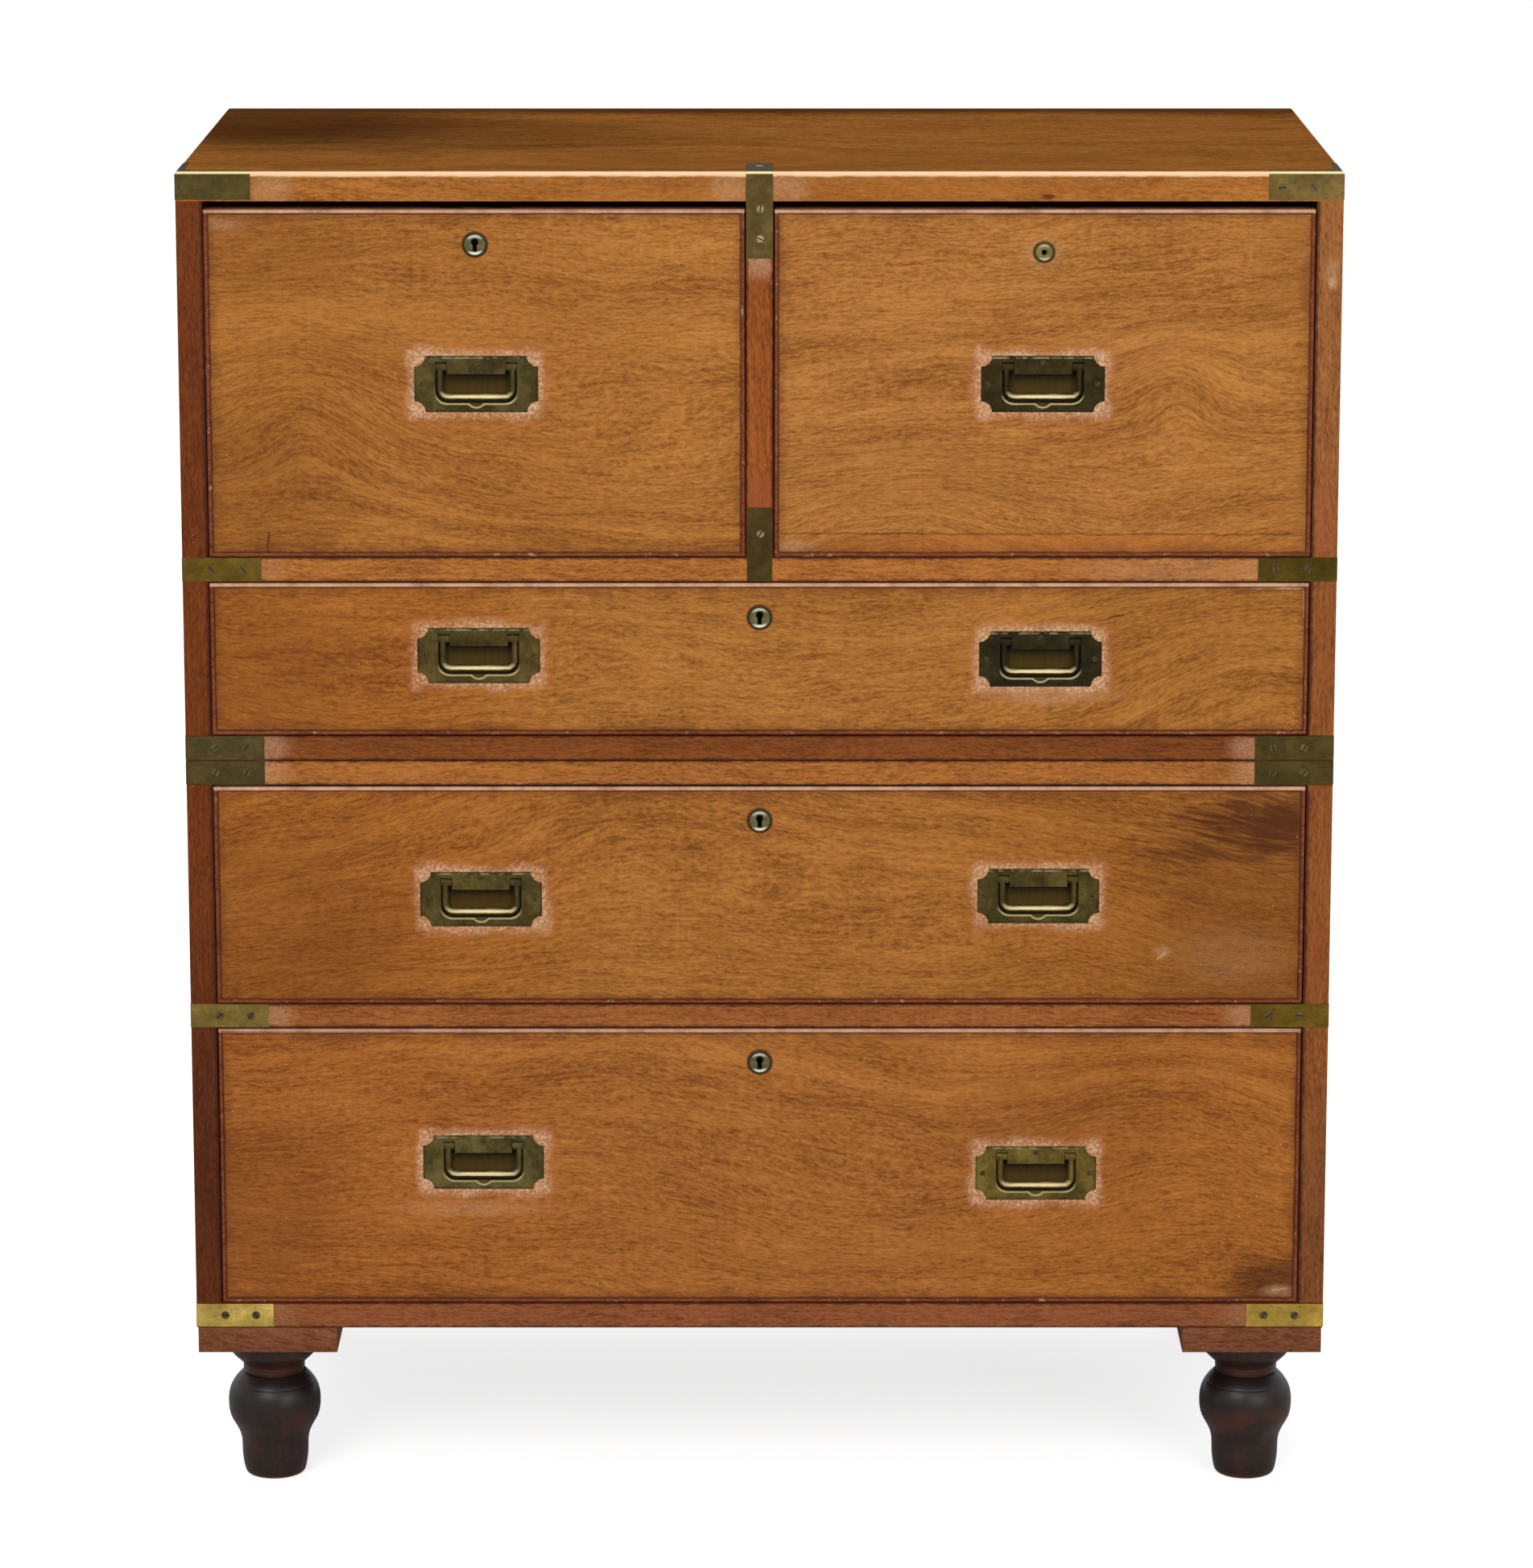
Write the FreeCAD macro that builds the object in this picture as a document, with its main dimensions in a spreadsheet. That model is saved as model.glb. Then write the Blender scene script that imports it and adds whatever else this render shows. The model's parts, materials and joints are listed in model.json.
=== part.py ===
"""A two-section campaign chest of five drawers on turned feet, in millimetres.

The chest stands on its feet with +Z up. The front faces -Y, and +X is to the right of someone who
looks at the front. The origin is on the floor, below the middle of the chest.
"""
import FreeCAD, Part
import Sketcher
import math
import os
from types import SimpleNamespace

DOC = FreeCAD.newDocument("campaign_chest")
SHEET = DOC.addObject("Spreadsheet::Sheet", "dims")

DRIVING = {
    # the two sections
    "case_width": (990.0, "outside width of both sections"),
    "case_depth": (500.0, "depth from the front plane to the back"),
    "lower_height": (511.0, "height of the lower section's case"),
    "upper_height": (510.0, "height of the upper section's case"),
    "side_thick": (22.5, "thickness of the side boards"),
    "top_thick": (25.0, "thickness of the top board"),
    "board_thick": (22.0, "thickness of the two boards that meet between the sections"),
    "base_thick": (23.0, "thickness of the lowest board"),
    "rail_thick": (21.0, "thickness of rails and runners"),
    "rail_depth": (62.0, "width of a rail from front to back"),
    "rail_tenon": (10.0, "length of a rail's end in the side board"),
    "partition_thick": (23.2, "thickness of the board between the top drawers"),
    "partition_tongue": (8.0, "tongue of the partition in the top board"),
    "runner_width": (45.0, "width of a side runner"),
    "stop_length": (40.0, "length of a drawer stop"),
    "stop_width": (22.0, "width of a drawer stop from front to back"),
    "stop_thick": (5.5, "thickness of a drawer stop"),
    "back_thick": (11.0, "thickness of the back boards"),
    "back_rebate": (10.0, "overlap of the back boards on the case"),
    "arris_round": (3.0, "rounding of the top board's worn edges"),
    "case_lap": (6.0, "wood left in front of the case dovetails"),
    # the openings of the drawers
    "bottom_opening": (250.0, "height of the opening of the lowest drawer"),
    "shallow_opening": (135.0, "height of the opening of the upper long drawer"),
    # feet
    "foot_height": (130.0, "height of a turned foot below its block"),
    "foot_bulb": (81.0, "largest diameter of a turned foot"),
    "block_height": (23.0, "thickness of a foot block"),
    "block_width": (122.0, "side of a square foot block"),
    "block_inset": (1.0, "foot block set in from the case"),
    "peg_width": (18.0, "width of a square locating peg"),
    "peg_height": (12.0, "height of a locating peg above the joint"),
    "peg_depth": (16.0, "depth of a locating peg in the lower section"),
    # drawers
    "edge_gap": (1.2, "gap beside and below a drawer front"),
    "top_gap": (1.6, "gap above the long drawers"),
    "shrunk_gap": (7.3, "gap above the two top drawers"),
    "run_gap": (0.3, "running gap below the drawer sides"),
    "front_thick": (22.0, "thickness of a drawer front"),
    "drawer_lap": (10.0, "wood left in front of the drawer dovetails"),
    "drawer_length": (446.0, "length of a drawer from front plane to back"),
    "lining_thick": (10.0, "thickness of the drawer sides"),
    "drawer_back_thick": (9.0, "thickness of the drawer back"),
    "bottom_thick": (7.0, "thickness of the drawer bottom"),
    "bottom_rise": (8.0, "drawer bottom above the lower edge of the sides"),
    "groove_depth": (5.0, "depth of the grooves for the drawer bottom"),
    "side_drop": (5.0, "top of the drawer sides below the top of the front"),
    "bead_thick": (3.0, "thickness of the cock bead"),
    "bead_depth": (8.0, "depth of the cock bead in its rebate"),
    "bead_proud": (2.0, "cock bead standing in front of the drawer"),
    # brass corner straps
    "strap_thick": (2.2, "thickness of the brass straps"),
    "brass_proud": (0.4, "brass standing out of the wood"),
    "strap_leg": (68.0, "length of a strap along the front and the side"),
    "top_strap_leg": (64.0, "length of the straps at the top corners"),
    "strap_height": (20.8, "height of a strap on a board's edge"),
    "centre_strap_drop": (74.0, "length of the centre strap down the front"),
    "centre_strap_reach": (60.0, "length of the centre strap over the top"),
    "centre_strap_width": (23.0, "width of the centre straps"),
    "low_strap_height": (64.5, "height of the strap at the foot of the partition"),
    # flush handles
    "plate_width": (105.5, "width of a handle plate"),
    "plate_height": (48.5, "height of a handle plate"),
    "plate_thick": (3.0, "thickness of a handle plate"),
    "plate_scoop": (9.5, "radius of the hollow corners of a handle plate"),
    "cup_width": (77.0, "width of the casting behind a handle plate"),
    "cup_depth": (9.6, "depth of the casting from the face of the plate"),
    "well_width": (69.5, "width of the recess that holds the bail"),
    "well_depth": (7.8, "depth of the recess that holds the bail"),
    "well_radius": (10.4, "radius of the recess's lower corners"),
    "well_top": (8.4, "top of the finger well above the plate's centre"),
    "well_bottom": (16.6, "bottom of the finger well below the plate's centre"),
    "bail_width": (67.3, "outside width of a bail"),
    "bail_bar": (5.0, "width and depth of a bail's bars"),
    "bail_grip": (5.7, "height of a bail's lower bar"),
    "bail_round": (9.6, "outside radius of a bail's corners"),
    "bail_chamfer": (1.6, "bevel on the face of a bail"),
    "notch_radius": (8.0, "radius of the thumb notch in the lower rim of the recess"),
    "notch_drop": (12.3, "centre of the thumb notch below the plate's centre"),
    "notch_depth": (2.8, "depth of the thumb notch"),
    "pivot_rise": (14.6, "bail pivot above the plate's centre"),
    "barrel_radius": (3.8, "radius of a bail's knuckles"),
    "barrel_gap": (0.4, "gap round a bail's knuckles"),
    "pin_radius": (1.3, "radius of a bail's pivots"),
    "pin_length": (2.4, "length of a bail's pivots"),
    "pin_clearance": (0.08, "radial clearance of a bail's pivots"),
    "handle_spread": (241.5, "handle centre from the middle of the chest"),
    # locks
    "lock_drop": (29.6, "keyhole centre below the top of a drawer front"),
    "patent_drop": (36.0, "keyhole centre of the lever lock at the top right"),
    "nose_diameter": (20.7, "diameter of a lock's round nose"),
    "nose_proud": (2.6, "lock nose standing in front of the drawer"),
    "nose_bevel": (0.8, "bevel round the face of a lock's nose"),
    "key_pin_radius": (3.2, "radius of the round part of a keyhole"),
    "key_bit_width": (3.8, "width of the slot of a keyhole"),
    "key_bit_drop": (5.6, "lower end of the slot below the centre of the nose"),
    "lever_pin_radius": (2.3, "radius of the lever lock's keyhole"),
    "lock_width": (62.0, "width of a lock"),
    "lock_height": (50.0, "height of a lock"),
    "lock_case_depth": (12.0, "depth of a lock in the back of the front"),
    "selvedge_thick": (2.0, "thickness of the plate on the top edge"),
    "lock_plate": (2.0, "thickness of the lock's back plate"),
    "bolt_width": (22.0, "width of a lock bolt"),
    "bolt_thick": (4.0, "thickness of a lock bolt"),
    "bolt_length": (28.0, "length of a lock bolt"),
    "bolt_throw": (11.0, "travel of a lock bolt"),
    "bolt_gap": (0.25, "gap round a lock bolt"),
    "mortise_gap": (1.0, "gap round a lock bolt in the wood above"),
}

for row, (alias, (value, note)) in enumerate(DRIVING.items(), start=1):
    SHEET.set(f"A{row}", note)
    SHEET.set(f"B{row}", str(value))
    SHEET.setAlias(f"B{row}", alias)
DOC.recompute()


class Size:
    """A length that the sheet drives: its expression, and its present value in millimetres."""

    def __init__(self, text, value):
        self.text = text
        self.value = float(value)

    def __add__(self, other):
        other = as_size(other)
        return Size(f"({self.text} + {other.text})", self.value + other.value)

    def __sub__(self, other):
        other = as_size(other)
        return Size(f"({self.text} - {other.text})", self.value - other.value)

    def __mul__(self, other):
        other = as_size(other)
        return Size(f"({self.text} * {other.text})", self.value * other.value)

    def __truediv__(self, other):
        other = as_size(other)
        return Size(f"({self.text} / {other.text})", self.value / other.value)

    def __neg__(self):
        return Size(f"(0 - {self.text})", -self.value)

    def __radd__(self, other):
        return as_size(other) + self

    def __rsub__(self, other):
        return as_size(other) - self

    def __rmul__(self, other):
        return as_size(other) * self


def as_size(length):
    """A plain number joins a formula as a fixed length."""
    if isinstance(length, Size):
        return length
    return Size(f"({float(length)})", length)


d = SimpleNamespace(**{alias: Size(f"dims.{alias}", value) for alias, (value, _) in DRIVING.items()})

# ---------------------------------------------------------------- places that follow from the sizes
FRONT = (d.nose_proud - d.case_depth) / 2
BACK = FRONT + d.case_depth
INNER_BACK = BACK - d.back_thick
RIGHT = d.case_width / 2
LEFT = -RIGHT
RIGHT_INNER = RIGHT - d.side_thick
LEFT_INNER = -RIGHT_INNER

CASE_BASE = d.foot_height + d.block_height
LOWER_FLOOR = CASE_BASE + d.base_thick
JOINT = CASE_BASE + d.lower_height
LOWER_CEILING = JOINT - d.board_thick
LOWER_RAIL = LOWER_FLOOR + d.bottom_opening
UPPER_FLOOR = JOINT + d.board_thick
UPPER_RAIL = UPPER_FLOOR + d.shallow_opening
CASE_TOP = JOINT + d.upper_height
UPPER_CEILING = CASE_TOP - d.top_thick

NODES = {}


# ---------------------------------------------------------------- helpers
def bind(item, prop, length):
    """Give a property its size, driven by the sheet when the size is."""
    length = as_size(length)
    if "dims." in length.text:
        item.setExpression(prop, length.text)
    else:
        item.setExpression(prop, None)
        setattr(item, prop, length.value)


def place(item, x=0, y=0, z=0):
    """Move an item to a driven position."""
    for axis, length in (("x", x), ("y", y), ("z", z)):
        length = as_size(length)
        item.setExpression(f"Placement.Base.{axis}", length.text)


def bar(name, x, y, z):
    """A rectangular bar between two driven positions on each axis."""
    box = DOC.addObject("Part::Box", name)
    bind(box, "Length", x[1] - x[0])
    bind(box, "Width", y[1] - y[0])
    bind(box, "Height", z[1] - z[0])
    place(box, x[0], y[0], z[0])
    return box


def rod(name, radius, length, x, y, z):
    """A round rod that starts at a position and runs towards the back."""
    item = DOC.addObject("Part::Cylinder", name)
    bind(item, "Radius", radius)
    bind(item, "Height", length)
    item.Placement = FreeCAD.Placement(FreeCAD.Vector(), FreeCAD.Rotation(FreeCAD.Vector(1, 0, 0), -90))
    place(item, x, y, z)
    return item


def group(name, items):
    """Several solids as one object."""
    item = DOC.addObject("Part::Compound", name)
    item.Links = items
    return item


def fuse(name, items):
    item = DOC.addObject("Part::MultiFuse", name)
    item.Shapes = items
    return item


def cut(name, base, tools):
    """Take one or more tools away from a base."""
    item = DOC.addObject("Part::Cut", name)
    item.Base = base
    item.Tool = tools[0] if len(tools) == 1 else group(f"{name}_tools", tools)
    return item


def common(name, base, tool):
    item = DOC.addObject("Part::Common", name)
    item.Base = base
    item.Tool = tool
    return item


def keep(node, item):
    """Name a finished sub-part."""
    item.Label = node
    NODES[node] = item
    return item


def new_body(name):
    return DOC.addObject("PartDesign::Body", name)


def new_sketch(body, name, role):
    """A sketch on one of the body's own origin planes."""
    sketch = body.newObject("Sketcher::SketchObject", name)
    plane = [item for item in body.Origin.OriginFeatures if item.Role == role][0]
    sketch.AttachmentSupport = [(plane, "")]
    sketch.MapMode = "FlatFace"
    return sketch


def pin(sketch, kind, geometry, point, length):
    """Hold one end of a line at a driven distance from the sketch's origin."""
    length = as_size(length)
    number = sketch.addConstraint(Sketcher.Constraint(kind, -1, 1, geometry, point, length.value))
    if "dims." in length.text:
        sketch.setExpression(f"Constraints[{number}]", length.text)


def outline(sketch, corners, bulges=None):
    """Draw a closed outline through driven corners.

    A bulge is the height of the arc that replaces the straight line after its corner. It is
    positive where the arc swells to the right of the line's direction.
    """
    bulges = bulges or {}
    points = [FreeCAD.Vector(as_size(x).value, as_size(y).value, 0) for x, y in corners]
    ends = points[1:] + points[:1]
    curves = []
    forward = []
    for number, (start, end) in enumerate(zip(points, ends)):
        if number not in bulges:
            curves.append(Part.LineSegment(start, end))
            forward.append(True)
            continue
        bulge = bulges[number]
        chord = end - start
        right = FreeCAD.Vector(chord.y, -chord.x, 0).normalize()
        radius = (chord.Length ** 2 / 4 + bulge ** 2) / (2 * abs(bulge))
        side = 1 if bulge > 0 else -1
        centre = (start + end) * 0.5 + right * (bulge - side * radius)
        angles = [math.atan2(p.y - centre.y, p.x - centre.x) for p in (start, end)]
        if side < 0:
            angles.reverse()
        if angles[1] < angles[0]:
            angles[1] += 2 * math.pi
        circle = Part.Circle(centre, FreeCAD.Vector(0, 0, 1), radius)
        curves.append(Part.ArcOfCircle(circle, angles[0], angles[1]))
        forward.append(side > 0)
    numbers = list(sketch.addGeometry(curves, False))
    joins = []
    for i, number in enumerate(numbers):
        following = (i + 1) % len(numbers)
        leaving = 2 if forward[i] else 1
        arriving = 1 if forward[following] else 2
        joins.append(Sketcher.Constraint("Coincident", number, leaving, numbers[following], arriving))
    sketch.addConstraint(joins)
    for i, (number, (x, y)) in enumerate(zip(numbers, corners)):
        point = 1 if forward[i] else 2
        pin(sketch, "DistanceX", number, point, x)
        pin(sketch, "DistanceY", number, point, y)
        if i in bulges:
            sketch.addConstraint(Sketcher.Constraint("Radius", number, curves[i].Radius))


def round_points(centre, radius, start, end, steps):
    """Corners on a circle from one angle to another, in degrees, both ends included."""
    points = []
    for number in range(steps + 1):
        angle = math.radians(start + (end - start) * number / steps)
        points.append((centre[0] + radius * math.cos(angle), centre[1] + radius * math.sin(angle)))
    return points


def pad(body, sketch, length, middle=False, reverse=False):
    feature = body.newObject("PartDesign::Pad", f"{sketch.Name}_pad")
    feature.Profile = sketch
    bind(feature, "Length", length)
    feature.Midplane = middle
    feature.Reversed = reverse
    return feature


def edges_where(shape, test):
    """Names of the edges whose two ends and middle pass a test."""
    names = []
    for number, edge in enumerate(shape.Edges, start=1):
        middle = edge.valueAt((edge.FirstParameter + edge.LastParameter) / 2)
        if all(test(point) for point in (edge.Vertexes[0].Point, edge.Vertexes[-1].Point, middle)):
            names.append(f"Edge{number}")
    return names


def dress(body, kind, feature, names, size_property, length):
    """Round or bevel chosen edges of a body's last feature."""
    item = body.newObject(f"PartDesign::{kind}", f"{feature.Name}_{kind.lower()}")
    item.Base = (feature, names)
    bind(item, size_property, length)
    return item


def tails(low, high, count, root, tip, wide):
    """Corners of a row of dovetails along an edge, from its low to its high end.

    root and tip are the places of the shoulder line and of the ends of the tails across the edge,
    and wide is the share of the pitch that a tail takes at its tip.
    """
    slope = 1.0 / 6.0
    pitch = (high - low) / count
    half_tip = pitch * (wide / 2)
    narrowing = as_size(abs((tip - root).value) * slope)
    half_root = half_tip - narrowing
    corners = []
    for number in range(count):
        centre = low + pitch * (number + 0.5)
        corners += [
            (root, centre - half_root),
            (tip, centre - half_tip),
            (tip, centre + half_tip),
            (root, centre + half_root),
        ]
    return corners


# ---------------------------------------------------------------- feet, blocks and pegs
FOOT_X = RIGHT - d.block_inset - d.block_width / 2
FOOT_Y = (FRONT + d.block_inset + d.block_width / 2, BACK - d.block_inset - d.block_width / 2)
CORNERS = [(side * FOOT_X, y) for y in FOOT_Y for side in (-1, 1)]
BULB_ANGLES = (-26.1, 35.4)


def turned_foot(number, x, y):
    """A foot with a plain leg, a flare, a round bulb, a neck and a heavy collar."""
    body = new_body(f"foot_{number}")
    sketch = new_sketch(body, f"foot_profile_{number}", "XZ_Plane")
    radius = d.foot_bulb / 2
    rise = d.foot_height
    low_angle, high_angle = BULB_ANGLES
    bulb = round_points((0, rise * 0.517), radius, low_angle, high_angle, 1)
    swell = radius.value * (1 - math.cos(math.radians(high_angle - low_angle) / 2))
    profile = [
        (0, 0),
        (radius * 0.61, 0),
        (radius * 0.70, rise * 0.027),
        (radius * 0.70, rise * 0.27),
        *bulb,
        (radius * 0.65, rise * 0.725),
        (radius * 0.65, rise * 0.79),
        (radius * 0.94, rise * 0.877),
        (radius * 0.94, rise),
        (0, rise),
    ]
    outline(sketch, profile, {4: swell})
    turning = body.newObject("PartDesign::Revolution", f"foot_turning_{number}")
    turning.Profile = sketch
    turning.ReferenceAxis = (sketch, ["V_Axis"])
    turning.Angle = 360
    place(body, x, y, 0)
    return body


def foot_block(number, x, y):
    """A square block under a corner of the case, which carries a foot."""
    half = d.block_width / 2
    height = (d.foot_height, d.foot_height + d.block_height)
    return bar(f"block_{number}", (x - half, x + half), (y - half, y + half), height)


def locating_peg(number, x, y):
    """A square peg with a bevelled top, glued in the lower section."""
    body = new_body(f"peg_{number}")
    sketch = new_sketch(body, f"peg_outline_{number}", "XY_Plane")
    half = d.peg_width / 2
    outline(sketch, [(-half, -half), (half, -half), (half, half), (-half, half)])
    shank = pad(body, sketch, d.peg_depth + d.peg_height)
    DOC.recompute()
    ridge = (d.peg_depth + d.peg_height).value
    upper = edges_where(shank.Shape, lambda point: abs(point.z - ridge) < 0.01)
    dress(body, "Chamfer", shank, upper, "Size", 3.0)
    place(body, x, y, JOINT - d.peg_depth)
    return body


keep("turned_feet", group("feet", [turned_foot(i, x, y) for i, (x, y) in enumerate(CORNERS)]))
keep("foot_blocks", group("blocks", [foot_block(i, x, y) for i, (x, y) in enumerate(CORNERS)]))

PEG_X = RIGHT - 70
PEG_Y = (FRONT + 95, BACK - 70)
PEG_PLACES = [(side * PEG_X, y) for y in PEG_Y for side in (-1, 1)]
PEG_CLEARANCE = 0.3
pegs = keep("locating_pegs", group("pegs", [locating_peg(i, x, y) for i, (x, y) in enumerate(PEG_PLACES)]))
PEG_HALF = d.peg_width / 2 + PEG_CLEARANCE
peg_holes = [
    bar(f"peg_hole_{i}", (x - PEG_HALF, x + PEG_HALF), (y - PEG_HALF, y + PEG_HALF),
        (JOINT, JOINT + d.peg_height + 1))
    for i, (x, y) in enumerate(PEG_PLACES)
]


# ---------------------------------------------------------------- brass straps
STRAP_FRONT = FRONT - d.brass_proud
STRAP_SIDE = RIGHT + d.brass_proud


def corner_strap(name, side, low, high, leg):
    """A strap bent round a front corner; side is -1 at the left and 1 at the right."""
    body = new_body(name)
    sketch = new_sketch(body, f"{name}_bend", "XY_Plane")
    outer = side * STRAP_SIDE
    inner = side * (STRAP_SIDE - d.strap_thick)
    end = side * (STRAP_SIDE - leg)
    corners = [
        (end, STRAP_FRONT),
        (outer, STRAP_FRONT),
        (outer, STRAP_FRONT + leg),
        (inner, STRAP_FRONT + leg),
        (inner, STRAP_FRONT + d.strap_thick),
        (end, STRAP_FRONT + d.strap_thick),
    ]
    outline(sketch, corners)
    strip = pad(body, sketch, high - low)
    DOC.recompute()
    edge_x = (side * STRAP_SIDE).value
    edge_y = STRAP_FRONT.value
    corner = edges_where(strip.Shape, lambda p: abs(p.x - edge_x) < 0.01 and abs(p.y - edge_y) < 0.01)
    dress(body, "Chamfer", strip, corner, "Size", 0.8)
    place(body, 0, 0, low)
    return body


def top_corner_strap(name, side):
    """A strap on the top board's corner, with a thin lip and a hollow web on the top face."""
    high = CASE_TOP + d.brass_proud
    low = CASE_TOP - d.top_thick + 1.2
    body = new_body(name)
    sketch = new_sketch(body, f"{name}_block", "XY_Plane")
    leg = d.top_strap_leg
    outer = side * STRAP_SIDE
    end = side * (STRAP_SIDE - leg)
    corners = [
        (end, STRAP_FRONT),
        (outer, STRAP_FRONT),
        (outer, STRAP_FRONT + leg),
        (end, STRAP_FRONT + leg),
    ]
    outline(sketch, corners)
    block = pad(body, sketch, high - low)
    DOC.recompute()
    edge_x = (side * STRAP_SIDE).value
    edge_y = STRAP_FRONT.value
    ridge = (high - low).value
    upper_front = edges_where(block.Shape, lambda p: abs(p.y - edge_y) < 0.01 and abs(p.z - ridge) < 0.01)
    upper_side = edges_where(block.Shape, lambda p: abs(p.x - edge_x) < 0.01 and abs(p.z - ridge) < 0.01)
    dress(body, "Fillet", block, upper_front + upper_side, "Radius", d.arris_round)
    place(body, 0, 0, low)
    thin = d.strap_thick
    lip = 4.5
    core_x = [side * (STRAP_SIDE - thin), side * (STRAP_SIDE - leg - 1)]
    core_x.sort(key=lambda place_x: place_x.value)
    core = bar(f"{name}_core", core_x, (STRAP_FRONT + thin, STRAP_FRONT + leg + 1), (low - 1, high - thin))
    window = new_body(f"{name}_window")
    drawing = new_sketch(window, f"{name}_window_outline", "XY_Plane")
    web = 16.0
    near_x = side * (STRAP_SIDE - thin - lip)
    far_x = side * (STRAP_SIDE - leg - 1)
    near_y = STRAP_FRONT + thin + lip
    far_y = STRAP_FRONT + leg + 1
    corners = [
        (near_x - side * web, near_y),
        (near_x, near_y + web),
        (near_x, far_y),
        (far_x, far_y),
        (far_x, near_y),
    ]
    outline(drawing, corners, {0: 3.5 * side})
    pad(window, drawing, thin + 2)
    place(window, 0, 0, high - thin - 1)
    return cut(f"{name}_bracket", body, [core, window])


def centre_top_strap():
    """A strap down the middle of the front that bends over onto the top."""
    body = new_body("centre_strap_top")
    sketch = new_sketch(body, "centre_strap_bend", "YZ_Plane")
    high = CASE_TOP + d.brass_proud
    low = CASE_TOP - d.centre_strap_drop
    reach = STRAP_FRONT + d.centre_strap_reach
    bend = d.arris_round
    corners = [
        (STRAP_FRONT, low),
        (STRAP_FRONT + d.strap_thick, low),
        (STRAP_FRONT + d.strap_thick, high - d.strap_thick),
        (reach, high - d.strap_thick),
        (reach, high),
        (STRAP_FRONT + bend, high),
        (STRAP_FRONT, high - bend),
    ]
    outline(sketch, corners, {5: bend.value * (1 - math.sqrt(0.5))})
    pad(body, sketch, d.centre_strap_width, middle=True)
    return body


def centre_low_strap():
    """A flat strap where the partition meets the rail."""
    half = d.centre_strap_width / 2 - 0.75
    high = UPPER_RAIL + d.low_strap_height
    depth = (STRAP_FRONT, STRAP_FRONT + d.strap_thick)
    return bar("centre_strap_low", (-half, half), depth, (UPPER_RAIL + 0.2, high))


def strap_pair(name, board_low, thickness):
    """The left and right straps that hold the ends of one board or rail."""
    low = board_low + (thickness - d.strap_height) / 2
    return [corner_strap(f"{name}_{word}", side, low, low + d.strap_height, d.strap_leg)
            for word, side in (("left", -1), ("right", 1))]


upper_strap_items = [top_corner_strap("strap_top_left", -1), top_corner_strap("strap_top_right", 1)]
upper_strap_items += strap_pair("strap_upper_rail", UPPER_RAIL, d.rail_thick)
upper_strap_items += strap_pair("strap_upper_bottom", JOINT, d.board_thick)
upper_strap_items += [centre_top_strap(), centre_low_strap()]
lower_strap_items = strap_pair("strap_lower_top", LOWER_CEILING, d.board_thick)
lower_strap_items += strap_pair("strap_lower_rail", LOWER_RAIL, d.rail_thick)
lower_strap_items += strap_pair("strap_base", CASE_BASE, d.base_thick)
upper_straps = keep("upper_straps", group("upper_brass", upper_strap_items))
lower_straps = keep("lower_straps", group("lower_brass", lower_strap_items))


# ---------------------------------------------------------------- case
CASE_TAILS = 6
BACK_GAP = 0.8


def back_boards(name, floor, ceiling):
    """Three level boards let into the back, with a small shrinkage gap between them."""
    low = floor - d.back_rebate
    high = ceiling + d.back_rebate
    pitch = (high - low) / 3
    across = (LEFT_INNER - d.back_rebate, RIGHT_INNER + d.back_rebate)
    boards = []
    for number in range(3):
        bottom = low + pitch * number
        top = bottom + pitch - (BACK_GAP if number < 2 else 0)
        boards.append(bar(f"{name}_{number}", across, (INNER_BACK, BACK), (bottom, top)))
    return group(name, boards)


def side_blank(name, side, floor, ceiling, low_tip, high_tip):
    """A side board with a row of dovetails at its lower and its upper end."""
    body = new_body(name)
    sketch = new_sketch(body, f"{name}_outline", "YZ_Plane")
    lower = [(along, up) for up, along in tails(FRONT, BACK, CASE_TAILS, floor, low_tip, 0.72)]
    upper = [(along, up) for up, along in tails(FRONT, BACK, CASE_TAILS, ceiling, high_tip, 0.72)]
    corners = [(FRONT, floor)] + lower + [(BACK, floor), (BACK, ceiling)] + upper[::-1] + [(FRONT, ceiling)]
    outline(sketch, corners)
    pad(body, sketch, d.side_thick)
    place(body, LEFT if side < 0 else RIGHT_INNER, 0, 0)
    return body


def full_board(name, low, high):
    """A level board over the whole plan of a section."""
    return bar(name, (LEFT, RIGHT), (FRONT, BACK), (low, high))


def front_rail(name, low):
    """A rail whose ends are housed in the side boards."""
    across = (LEFT_INNER - d.rail_tenon, RIGHT_INNER + d.rail_tenon)
    return bar(name, across, (FRONT, FRONT + d.rail_depth), (low, low + d.rail_thick))


def runners(name, low, centre):
    """Runners from the rail to the back, one on each side and one under the partition."""
    along = (FRONT + d.rail_depth, INNER_BACK)
    up = (low, low + d.rail_thick)
    strips = [
        bar(f"{name}_left", (LEFT_INNER, LEFT_INNER + d.runner_width), along, up),
        bar(f"{name}_right", (RIGHT_INNER - d.runner_width, RIGHT_INNER), along, up),
    ]
    if centre:
        half = d.runner_width * 0.8
        strips.append(bar(f"{name}_centre", (-half, half), along, up))
    return group(name, strips)


def drawer_stops(name, places):
    """Thin blocks behind the lower edge of the drawer fronts."""
    near = FRONT + d.front_thick + 0.3
    half = d.stop_length / 2
    blocks = []
    for number, (x, z) in enumerate(places):
        blocks.append(bar(f"{name}_{number}", (x - half, x + half), (near, near + d.stop_width),
                          (z, z + d.stop_thick)))
    return group(name, blocks)


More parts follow.
